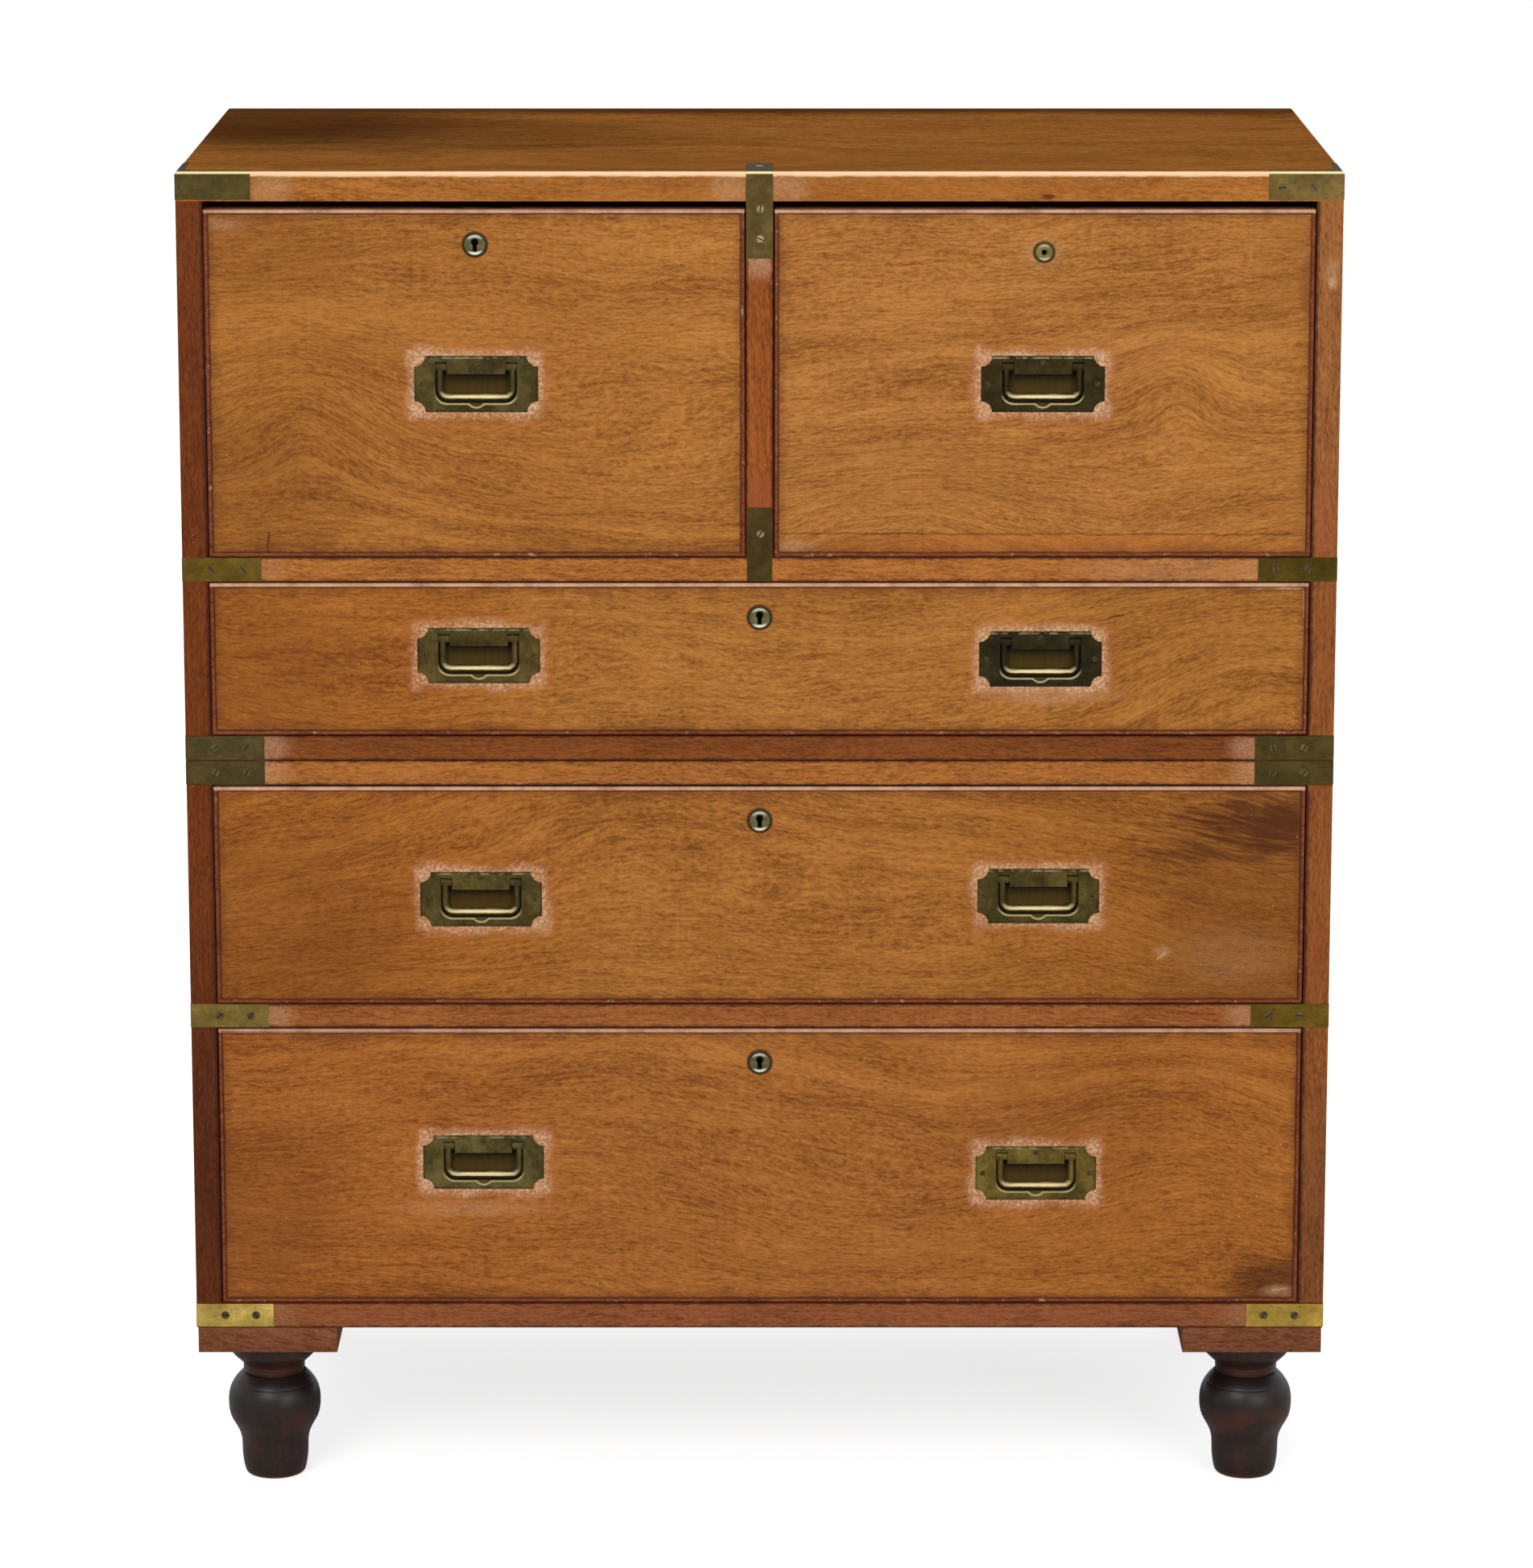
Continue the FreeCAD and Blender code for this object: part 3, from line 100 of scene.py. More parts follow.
# ---- shader helpers
class Tree:
    """Adds nodes to a node tree; a value to join may be a socket, a number or a colour."""

    def __init__(self, owner):
        owner.use_nodes = True
        self.tree = owner.node_tree
        self.tree.nodes.clear()

    def add(self, kind, **settings):
        node = self.tree.nodes.new(kind)
        for name, value in settings.items():
            setattr(node, name, value)
        return node

    def join(self, socket, value):
        if isinstance(value, bpy.types.NodeSocket):
            self.tree.links.new(value, socket)
        elif value is not None:
            socket.default_value = value

    def fill(self, node, *values):
        """Join values to the first sockets of a node, and return its output."""
        for socket, value in zip(node.inputs, values):
            self.join(socket, value)
        return node.outputs[0]

    def math(self, operation, *values):
        return self.fill(self.add("ShaderNodeMath", operation=operation), *values)

    plus = partialmethod(math, "ADD")
    minus = partialmethod(math, "SUBTRACT")
    times = partialmethod(math, "MULTIPLY")
    over = partialmethod(math, "DIVIDE")
    times_plus = partialmethod(math, "MULTIPLY_ADD")
    size = partialmethod(math, "ABSOLUTE")
    exp = partialmethod(math, "EXPONENT")
    larger = partialmethod(math, "MAXIMUM")
    smaller = partialmethod(math, "MINIMUM")
    above = partialmethod(math, "GREATER_THAN")
    below = partialmethod(math, "LESS_THAN")

    def remap(self, value, low, high, to_low=0.0, to_high=1.0, smooth=False):
        """Turn the range from low to high into the range from to_low to to_high, and go no further."""
        node = self.add("ShaderNodeMapRange", clamp=True)
        if smooth:
            node.interpolation_type = "SMOOTHSTEP"
        return self.fill(node, value, low, high, to_low, to_high)

    def fall(self, value, low, high, strength=1.0):
        """Full strength up to low, from which it falls softly to nothing at high."""
        return self.remap(value, low, high, strength, 0.0, smooth=True)

    def inwards(self, value, low, high):
        """Distance inwards from the nearer end of a range."""
        return self.smaller(self.minus(value, low), self.minus(high, value))


class Graph(Tree):
    """The tree of one material, with the place on the part as its coordinates."""

    def __init__(self, name):
        self.material = bpy.data.materials.new(name)
        super().__init__(self.material)
        self.output = self.add("ShaderNodeOutputMaterial")
        place = self.add("ShaderNodeTexCoord").outputs["Object"]
        self.place = self.vector("SCALE", place, scale=1 / MM)
        axes = self.add("ShaderNodeSeparateXYZ")
        self.join(axes.inputs[0], self.place)
        self.x, self.y, self.z = axes.outputs

    def vector(self, operation, a, b=None, scale=None):
        node = self.add("ShaderNodeVectorMath", operation=operation)
        self.fill(node, a, b)
        if scale:
            self.join(node.inputs["Scale"], scale)
        return node.outputs["Value" if operation == "LENGTH" else 0]

    def combine(self, x, y, z):
        return self.fill(self.add("ShaderNodeCombineXYZ"), x, y, z)

    def length(self, x, y):
        return self.vector("LENGTH", self.combine(x, y, 0.0))

    def noise(self, place, detail=2.0, roughness=0.5, line=False):
        """Noise over a place, or over a single number along a line."""
        node = self.add("ShaderNodeTexNoise", noise_dimensions="1D" if line else "3D")
        self.join(node.inputs["W" if line else "Vector"], place)
        for name, value in (("Scale", 1.0), ("Detail", detail), ("Roughness", roughness)):
            node.inputs[name].default_value = value
        return node.outputs["Fac"]

    def cloud(self, size, detail=2.0, roughness=0.5):
        """Noise over the part, with features about size millimetres across."""
        return self.noise(self.vector("SCALE", self.place, scale=1 / size), detail, roughness)

    def wobble(self, size, detail=2.0, roughness=0.5):
        """The same noise, counted from its middle."""
        return self.minus(self.cloud(size, detail, roughness), 0.5)

    def sway(self, noise, amount, value):
        """A value that a noise moves up and down by an amount."""
        return self.times_plus(self.minus(noise, 0.5), amount, value)

    def cells(self, place):
        """Distance to the nearest random point, and a random number of that point."""
        node = self.add("ShaderNodeTexVoronoi")
        self.join(node.inputs["Vector"], place)
        node.inputs["Scale"].default_value = 1.0
        chance = self.fill(self.add("ShaderNodeSeparateColor"), node.outputs["Color"])
        return node.outputs["Distance"], chance

    def ramp(self, value, stops):
        node = self.add("ShaderNodeValToRGB")
        points = node.color_ramp.elements
        while len(points) < len(stops):
            points.new(0.5)
        for point, (position, color) in zip(points, stops):
            point.position = position
            point.color = (*color, 1)
        return self.fill(node, value)

    def mix(self, share, a, b):
        node = self.add("ShaderNodeMix", data_type="RGBA", clamp_factor=True)
        colors = [socket for socket in node.inputs if socket.type == "RGBA"]
        self.join(node.inputs[0], share)
        for socket, color in zip(colors, (a, b)):
            self.join(socket, (*color, 1) if isinstance(color, tuple) else color)
        return [socket for socket in node.outputs if socket.type == "RGBA"][0]

    def tint(self, share, color):
        self.color = self.mix(share, self.color, color)

    def finish(self, relief, metallic, specular):
        """Join colour, roughness and relief to the surface."""
        bump = self.add("ShaderNodeBump")
        bump.inputs["Strength"].default_value = 1.0
        bump.inputs["Distance"].default_value = relief * MM
        self.join(bump.inputs["Height"], self.height)
        shader = self.add("ShaderNodeBsdfPrincipled")
        for name, value in (("Base Color", self.color), ("Roughness", self.roughness), ("Metallic", metallic),
                            ("Normal", bump.outputs[0]), ("Specular IOR Level", specular)):
            self.join(shader.inputs[name], value)
        self.join(self.output.inputs["Surface"], shader.outputs[0])
        return self.material


def srgb(red, green, blue):
    """A colour as it looks on a screen, 0 to 255, as linear light."""
    def linear(value):
        value /= 255
        return value / 12.92 if value <= 0.04045 else ((value + 0.055) / 1.055) ** 2.4
    return tuple(linear(value) for value in (red, green, blue))


def toned(color, share):
    return tuple(value * share for value in color)


# ---- wood
ALONG = {"X": (0, 2, 1), "Y": (1, 2, 0), "Z": (2, 0, 1)}

WORN_RED = srgb(168, 92, 46)
WORN_PINK = srgb(206, 158, 116)
WORN_PALE = srgb(226, 196, 164)
SCRATCH_DARK = srgb(62, 32, 16)
GRIME = srgb(104, 56, 26)
# Dark of dirt lines, which beside gaps, beads and lock noses also stands for painted shade.
DIRT_AND_SHADE_DARK = srgb(58, 24, 14)
# Painted highlight along the top of the cock beads.
BEAD_HIGHLIGHT = srgb(216, 168, 136)
# Painted highlight along the rounded front arris of the top board.
ARRIS_HIGHLIGHT = srgb(240, 204, 160)
FOOT_RED = srgb(76, 38, 27)
FOOT_BLACK = srgb(22, 17, 16)
FOOT_BULB_Z, FOOT_NECK_Z = 84.0, 99.5

DARK_SHARE = (0.54, 0.46, 0.38)
LIGHT_SHARE = (1.34, 1.46, 1.66)

PLATE_SIZE = (105.5, 48.5)
PLATE_BELOW_BAIL_TOP = 18.4
BEAD_WIDTH = 3.0
SIDE_INNER = 472.5
STRAP_END_X = 424
STRAP_END_WEAR = (20, 16)


def tones(red, green, blue):
    """Dark, middle and light tones of one board."""
    middle = srgb(red, green, blue)
    dark = tuple(value * share for value, share in zip(middle, DARK_SHARE))
    light = tuple(min(value * share, 1.0) for value, share in zip(middle, LIGHT_SHARE))
    return dark, middle, light


class Wood(Graph):
    """Mahogany with growth figure, fibres and pores, on which wear is then laid.

    The axes of a board are u along the grain, v across it and w through the board; heart is the place of
    the middle of the tree in v and w.
    """

    def __init__(self, name, along, tones, seed, heart=(90, 160), slope=0.1, figure=1.0, pores=1.0,
                 swells=()):
        super().__init__(name)
        rng = random.Random(seed)
        axes = (self.x, self.y, self.z)
        u, v, w = (axes[number] for number in ALONG[along])
        for swell in swells:
            v = self.plus(v, self.swell(u, v, *swell))
        shift = [rng.uniform(-4000, 4000) for _ in range(2)]
        self.u = self.plus(u, shift[0])
        wander = self.noise(self.combine(self.over(self.u, 260), self.over(v, 90), shift[1]), 3.0)
        bend = self.times(self.minus(wander, 0.5), 85.0)
        lean = self.times(u, slope)
        across = self.plus(self.plus(self.minus(v, heart[0]), lean), bend)
        bands = self.noise(self.over(self.length(across, self.plus(w, heart[1])), 13), 3.0, 0.6, line=True)
        bent = self.times_plus(bend, 0.5, self.plus(v, lean))
        self.fibre = self.noise(self.grains(bent, w, 38, 2.6, 3.0), 3.0, 0.6)
        fleck = self.noise(self.grains(bent, w, 7.0, 1.9, 2.2), 3.0, 0.75)
        patch = self.noise(self.grains(bent, w, 150, 60, 60), 4.0, 0.55)
        mottle = self.noise(self.grains(bent, w, 24, 5, 6), 3.0, 0.6)
        tone = 0.5
        for noise, amount in ((bands, 0.36 * figure), (self.fibre, 0.55), (fleck, 1.15), (patch, 0.45),
                              (mottle, 0.4)):
            tone = self.sway(noise, amount, tone)
        dark, middle, light = tones
        self.color = self.ramp(tone, [(0.25, dark), (0.5, middle), (0.75, light)])
        pore = self.dashes(bent, w, (10.0, 2.1), (0.40, 0.85))
        fine_pore = self.dashes(bent, w, (5.0, 1.1), (0.35, 0.85))
        self.tint(self.times(pore, 0.5 * pores), toned(middle, 0.38))
        self.tint(self.times(fine_pore, 0.38 * pores), toned(middle, 0.40))
        self.height = self.times_plus(pore, -0.8, self.times(self.fibre, 0.4))
        self.height = self.times_plus(fine_pore, -0.5, self.height)
        self.roughness = self.times_plus(fleck, 0.18, 0.42)

    def swell(self, u, v, centre, radii, height):
        """A knot or a bend of the tree near the board, round which the grain runs in arcs."""
        across = self.over(self.minus(u, centre[0]), radii[0])
        up = self.over(self.minus(v, centre[1]), radii[1])
        far = self.times_plus(across, across, self.times(up, up))
        return self.times(self.exp(self.times(far, -1.0)), height)

    def grains(self, across, depth, *sizes):
        """The place in the board, counted in grains of a length, a width and a depth."""
        return self.combine(*(self.over(value, size) for value, size in zip((self.u, across, depth), sizes)))

    def dashes(self, across, depth, size, chances):
        """Open pores: short dark dashes along the grain."""
        length, width = size
        distance, chance = self.cells(self.grains(across, depth, length, width, width))
        near = self.remap(distance, 0.12, 0.40, 1.0, 0.0)
        return self.times(near, self.remap(chance, *chances))

    def far_from(self, centre, radii, ragged, axes="xz"):
        """Distance from a point, where 1 is the edge of an ellipse that the fibres break up."""
        steps = [self.over(self.minus(getattr(self, axis), middle), radius)
                 for axis, middle, radius in zip(axes, centre, radii)]
        return self.sway(self.fibre, ragged, self.length(*steps))

    def stain(self, centre, radii, color, strength, axes="xz", softness=0.6, ragged=0.5):
        """A soft patch of another tone round a point, broken up along the grain."""
        far = self.far_from(centre, radii, ragged, axes)
        share = self.fall(far, 1.0 - softness, 1.0 + softness * 0.4, strength)
        self.tint(share, color)

    def worn(self, centre, radii, strength, only=1.0):
        """Polish worn to broken pale flecks round a point of the front."""
        far = self.far_from(centre, radii, 1.0)
        share = self.times(self.fall(far, 0.3, 1.3, strength), only)
        rub = self.cloud(3.4, 4.0, 0.75)
        self.tint(self.times(share, 0.6), WORN_PINK)
        self.tint(self.times(self.remap(rub, 0.44, 0.68, 0.0, 0.5), share), WORN_PALE)

    def stroke(self, start, end, width, color, strength):
        """A crack, a scratch or a rubbed line between two points (x, z) of the front."""
        run = Vector(end) - Vector(start)
        reach = run.length
        run.normalize()
        dx = self.minus(self.x, start[0])
        dz = self.minus(self.z, start[1])
        along = self.times_plus(dx, run.x, self.times(dz, run.y))
        across = self.times_plus(dx, -run.y, self.times(dz, run.x))
        past = self.larger(self.minus(along, reach), self.times(along, -1.0))
        across = self.times_plus(self.wobble(16, 3.0, 0.6), width * 3.0, across)
        away = self.length(self.larger(past, 0.0), across)
        self.tint(self.remap(away, width * 0.3, width * 0.8, strength, 0.0), color)

    def wear(self, marks=(), strokes=(), worn=()):
        """Lay stains, strokes and worn places, in this order."""
        for lay, places in ((self.stain, marks), (self.stroke, strokes), (self.worn, worn)):
            for place in places:
                lay(*place)

    def rim_shade_and_grime(self, low, high):
        """A line of dirt and painted shade beside the cock bead, and darker polish over the next few
        millimetres.
        """
        near = self.smaller(self.inwards(self.x, low.x + BEAD_WIDTH, high.x - BEAD_WIDTH),
                            self.inwards(self.z, low.z + BEAD_WIDTH, high.z - BEAD_WIDTH))
        rough = self.wobble(22, 4.0, 0.7)
        wide = self.times_plus(rough, -30.0, near)
        self.tint(self.fall(wide, -2.0, 11.0, 0.5), GRIME)
        # The narrow line next to the bead is dirt and painted shade; the wide band above is darker polish.
        line = self.times_plus(rough, -2.0, near)
        self.tint(self.fall(line, 0.3, 1.5, 0.8), DIRT_AND_SHADE_DARK)

    def handle_halo(self, place, seed):
        """Polish worn away and whitened round the inlaid plates."""
        outside = [self.larger(self.minus(self.size(value), whole / 2), 0.0)
                   for value, whole in zip(place, PLATE_SIZE)]
        grain = self.vector("ADD", self.vector("SCALE", self.place, scale=1 / 5.0), (seed, 0, 0))
        far = self.sway(self.noise(grain, 4.0, 0.75), -9.0, self.length(*outside))
        far = self.sway(self.cloud(30), -18.0, far)
        self.tint(self.fall(far, 1.0, 18.0, 0.3), WORN_RED)
        share = self.fall(far, -3.0, 9.5)
        self.tint(self.times(share, 0.34), WORN_PINK)
        flecks = self.remap(self.cloud(2.8, 3.0, 0.7), 0.44, 0.62, 0.0, 0.72)
        self.tint(self.times(flecks, share), WORN_PALE)

    def nose_shadow_and_dirt(self, x, z, radius):
        """A dark ring of dirt and painted shadow in the wood round the nose of a lock."""
        away = self.length(self.minus(self.x, x), self.minus(self.z, z))
        self.tint(self.fall(away, radius + 0.3, radius + 2.8, 0.9), DIRT_AND_SHADE_DARK)

    def fade(self, place, start, end, ratio):
        """Multiply the colour by a ratio, fully past end and not at all before start."""
        share = self.remap(place, start, end, smooth=True)
        self.tint(share, self.vector("MULTIPLY", self.color, ratio))

    def edge_shade_and_dirt(self, distance, strength=0.75, width=2.6):
        """Dirt and painted shade along an edge beside a gap; distance runs inwards from the edge."""
        ragged = self.times_plus(self.wobble(9, 3.0, 0.7), -5.0, distance)
        self.tint(self.fall(ragged, 0.5, width, strength), DIRT_AND_SHADE_DARK)

    def scratches(self, strength=0.5):
        """A few short dark scratches in three directions, and dark and pale specks."""
        for turn, seed in ((0.9, 3.0), (-0.6, 11.0), (1.9, 23.0)):
            cos, sin = math.cos(turn), math.sin(turn)
            along = self.times_plus(self.x, cos, self.times(self.z, sin))
            across = self.times_plus(self.x, -sin, self.times(self.z, cos))
            distance, chance = self.cells(self.combine(self.over(along, 26), self.over(across, 1.9), seed))
            line = self.remap(distance, 0.05, 0.13, 1.0, 0.0)
            rare = self.remap(chance, 0.962, 0.972)
            self.tint(self.times(self.times(line, rare), strength), SCRATCH_DARK)
        distance, chance = self.cells(self.vector("SCALE", self.place, scale=1 / 5.0))
        speck = self.remap(distance, 0.08, 0.16, 1.0, 0.0)
        dark = self.times(speck, self.remap(chance, 0.86, 0.88))
        pale = self.times(speck, self.remap(chance, 0.03, 0.02))
        self.tint(self.times(dark, strength), SCRATCH_DARK)
        self.tint(self.times(pale, strength * 0.7), WORN_PALE)

    def only_in_front(self, plain):
        """Keep what was laid over the plain colour near the front face of the chest alone."""
        front = self.remap(self.y, FRONT_Y + 5.0, FRONT_Y + 4.0)
        self.color = self.mix(front, plain, self.color)

    def done(self, specular=0.09):
        return self.finish(0.05, 0.0, specular)


def bail_nodes(drawer):
    """Names of the bails of a drawer, from left to right."""
    return sorted(name for name in NODES if name.startswith(f"{drawer}_bail"))


def plate_centre(bail):
    """Centre of the plate that a bail hangs in; the top of the bail is a fixed way above it."""
    low, high = node_box(bail)
    return (low.x + high.x) / 2, high.z - PLATE_BELOW_BAIL_TOP


def handle_place(graph, drawer):
    """Distances across and up from the nearer handle centre of a drawer."""
    centres = [plate_centre(bail) for bail in bail_nodes(drawer)]
    first, last = centres[0], centres[-1]
    right = graph.above(graph.x, (first[0] + last[0]) / 2)
    return tuple(graph.minus(place, graph.times_plus(right, last[axis] - first[axis], first[axis]))
                 for axis, place in enumerate((graph.x, graph.z)))


def nose_centre(lock):
    """Centre and radius of a lock's nose, from the vertices of its face."""
    points = [vertex.co / MM for vertex in NODES[lock].data.vertices]
    face = min(point.y for point in points)
    rim = [point for point in points if point.y < face + 0.1]
    xs, zs = [point.x for point in rim], [point.z for point in rim]
    return (min(xs) + max(xs)) / 2, (min(zs) + max(zs)) / 2, (max(xs) - min(xs)) / 2


def plain_wood(name, along, color, seed, heart=(60, 140), slope=0.05, marks=(), worn=(), dirt_shade_node=None):
    """A board of the case; the last argument names the node whose edges get dirt and painted shade."""
    wood = Wood(name, along, tones(*color), seed, heart, slope, figure=0.8)
    plain = wood.color
    wood.wear(marks, worn=worn)
    wood.only_in_front(plain)
    wood.scratches(0.4)
    if dirt_shade_node:
        low, high = node_box(dirt_shade_node)
        axis = "x" if along == "Z" else "z"
        wood.edge_shade_and_dirt(wood.inwards(*(getattr(place, axis) for place in (wood, low, high))))
    return wood.done()


def side_wood(name, color, seed, hand, fades, marks, worn=()):
    """A side board: dirt and painted shade along its inner edge at the front, and tones that change with
    height.
    """
    wood = Wood(name, "Z", tones(*color), seed, (hand * 490, 130), 0.02, figure=0.8)
    for start, end, ratio in fades:
        wood.fade(wood.z, start, end, ratio)
    plain = wood.color
    wood.wear(marks, worn=worn)
    wood.only_in_front(plain)
    wood.scratches(0.4)
    wood.edge_shade_and_dirt(wood.minus(wood.size(wood.x), SIDE_INNER), 0.9, 4.2)
    return wood.done()


def bead_wood(drawer, index):
    """The cock beads of one drawer; the upper strip has a painted highlight along its top."""
    wood = Wood(f"{drawer}_beads", "X", tones(120, 62, 34), 40 + index, (0, 140), 0.0, figure=0.6)
    high = node_box(f"{drawer}_cock_beads")[1]
    # A painted highlight along the top of the upper strip, broken up along its length by noise.
    highlight_patches = wood.noise(wood.combine(wood.over(wood.x, 30), 0.0, index), 3.0, 0.65)
    top = wood.remap(wood.minus(high.z, wood.z), 2.9, 2.2)
    wood.tint(wood.times(top, wood.remap(highlight_patches, 0.3, 0.55, 0.35, 0.9)), BEAD_HIGHLIGHT)
    scuffed = wood.remap(wood.cloud(11, 4.0, 0.75), 0.60, 0.68)
    wood.tint(wood.times(scuffed, 0.3), WORN_PALE)
    return wood.done()


def foot_wood():
    """Dark polish on the turned feet: near black on the bulb, redder on the leg and the neck."""
    shades = (srgb(33, 22, 18), srgb(41, 28, 22), srgb(53, 33, 26))
    wood = Wood("turned_mahogany", "Z", shades, 37, pores=0.25)
    wood.tint(wood.remap(wood.cloud(38, 3.0, 0.55), 0.46, 0.64, 0.0, 0.6, smooth=True), FOOT_RED)
    bulb = wood.size(wood.minus(wood.z, FOOT_BULB_Z))
    wood.tint(wood.remap(bulb, 24.0, 8.0, 0.0, 0.8, smooth=True), FOOT_BLACK)
    neck = wood.size(wood.minus(wood.z, FOOT_NECK_Z))
    wood.tint(wood.remap(neck, 6.0, 3.0, 0.0, 0.6), FOOT_RED)
    wood.tint(wood.remap(wood.z, 4.0, 1.0, 0.0, 0.35), WORN_RED)
    wood.roughness = 0.38
    return wood.done(specular=0.3)


def top_board(marks):
    """The top board: darker top face, a painted highlight along its front arris, and a dark line behind it.
    """
    wood = Wood("top_mahogany", "X", tones(134, 84, 36), 21, (1000, 140), 0.04, figure=0.8)
    wood.wear(marks)
    wood.scratches(0.4)
    front = wood.remap(wood.z, TOP_Z - 2.5, TOP_Z - 4.5)
    front = wood.times(front, wood.remap(wood.y, FRONT_Y + 4.0, FRONT_Y + 3.0))
    wood.tint(front, wood.vector("MULTIPLY", wood.color, (1.55, 1.5, 1.55)))
    behind = wood.minus(wood.y, FRONT_Y)
    below = wood.minus(TOP_Z, wood.z)
    uneven = wood.wobble(14, 3.0, 0.6)
    arris = wood.times_plus(uneven, 2.4, wood.larger(behind, below))
    # Painted highlight along the rounded front arris.
    wood.tint(wood.fall(arris, 2.6, 4.9, 0.97), ARRIS_HIGHLIGHT)
    groove = wood.size(wood.times_plus(uneven, 6.0, wood.minus(behind, 8.0)))
    line = wood.fall(groove, 1.5, 4.5, 0.6)
    wood.tint(wood.times(line, wood.remap(below, 1.0, 0.2)), GRIME)
    wood.stain((245, 1153), (6, 3), DIRT_AND_SHADE_DARK, 0.7, "xz", 0.6, 1.6)
    for x in (-414, -24, 24):
        wood.worn((x, 1160), STRAP_END_WEAR, 0.35, front)
    return wood.done(specular=0.0)


# ---- brass
PATINA_DARK = srgb(40, 33, 17)
# Painted highlight along the lower bar of the bails.
BAIL_HIGHLIGHT = srgb(236, 216, 162)
# Recess of the handle plates: dirt and painted shade.
WELL_SHADE_AND_DIRT = srgb(84, 64, 23)
WELL_DARK = srgb(28, 20, 5)
# Painted highlight on the rims of the handle plates.
RIM_LIGHT = srgb(186, 172, 128)
NOTCH_TONE = srgb(128, 112, 66)
NOSE_LIGHT = srgb(238, 236, 222)
# Dirt and painted shade round the edge of the lock noses.
NOSE_SHADE_AND_DIRT = srgb(44, 34, 20)
# Painted shade inside the keyholes.
KEYHOLE_BLACK = (0.004, 0.004, 0.003)
# Painted highlight along the top arris of the straps.
STRAP_EDGE_HIGHLIGHT = srgb(222, 208, 160)

# Half width, bottom and corner radius of the recess of a plate, and of the opening of a bail.
WELL_BOTTOM = 16.6
WELL = (34.75, WELL_BOTTOM, 10.0)
BOW = (28.65, 8.8, 4.6)

WELL_RIM = 0.55
UPPER_RIM = 22.6
NOTCH_RADIUS = 8.0
NOTCH_DROP = 12.3
NOSE_DEPTH = 17.0


class Brass(Graph):
    """Old brass: low, blotchy brown-green patina with dull spots and fine scratches."""

    def __init__(self, name, color, seed, patchy=0.8, brush=(9.0, 0.45)):
        super().__init__(name)
        middle = srgb(*color)
        dark, light = toned(middle, 0.42), toned(middle, 1.9)
        place = self.vector("ADD", self.place, (seed * 37.0, seed * 11.0, seed * 5.0))
        blotch = self.noise(self.vector("SCALE", place, scale=1 / 26), 5.0, 0.6)
        cloud = self.noise(self.vector("SCALE", place, scale=1 / 6), 4.0, 0.7)
        hairs = (self.over(axis, size) for axis, size in zip((self.x, self.y, self.z), (*brush, brush[1])))
        hair = self.noise(self.combine(*hairs), 3.0, 0.7)
        tone = 0.5
        for noise, amount in ((cloud, 0.5 * patchy), (blotch, 1.1 * patchy), (hair, 0.35)):
            tone = self.sway(noise, amount, tone)
        self.color = self.ramp(tone, [(0.2, dark), (0.5, middle), (0.8, light)])
        distance, chance = self.cells(self.vector("SCALE", place, scale=1 / 4.5))
        spot = self.times(self.remap(distance, 0.1, 0.3, 1.0, 0.0), self.remap(chance, 0.78, 0.86))
        self.tint(self.times(spot, 0.45), toned(dark, 0.5))
        self.height = self.times_plus(hair, 0.35, blotch)
        self.metallic = 0.75
        self.roughness = self.times_plus(hair, 0.14, 0.42)

    def other_tone(self, share, color, wanted):
        """Where share is 1, change the middle tone from color to the wanted one."""
        ratio = tuple(new / old for old, new in zip(srgb(*color), srgb(*wanted)))
        self.tint(share, self.vector("MULTIPLY", self.color, ratio))

    def inside(self, columns, rows):
        """1 in a rectangle of the front, given by its range of x and its range of z, and 0 elsewhere."""
        share = 1.0
        for value, (start, end) in ((self.x, columns), (self.z, rows)):
            share = self.times(self.times(self.above(value, start), self.below(value, end)), share)
        return share

    def outside_bow(self, dx, dz, half_width, bottom, corner):
        """Distance outside the lower outline of a recess or a bail, negative inside it."""
        qx = self.minus(self.size(dx), half_width - corner)
        qz = self.minus(self.times(dz, -1.0), bottom - corner)
        outside = self.length(self.larger(qx, 0.0), self.larger(qz, 0.0))
        inside = self.smaller(self.larger(qx, qz), 0.0)
        return self.minus(self.plus(outside, inside), corner)

    def dull(self, share):
        """Less metallic and rougher where the brass is darkened."""
        self.metallic = self.times(self.minus(1.0, share), self.metallic)
        self.roughness = self.times_plus(share, 0.35, self.roughness)

    def done(self):
        return self.finish(0.02, self.metallic, 0.12)


def handle_metal(name, left, right, *settings):
    """Brass of the one or two handles of a drawer; the right one may have another tone."""
    g = Brass(name, left, *settings)
    if right:
        g.other_tone(g.above(g.x, 0.0), left, right)
    return g


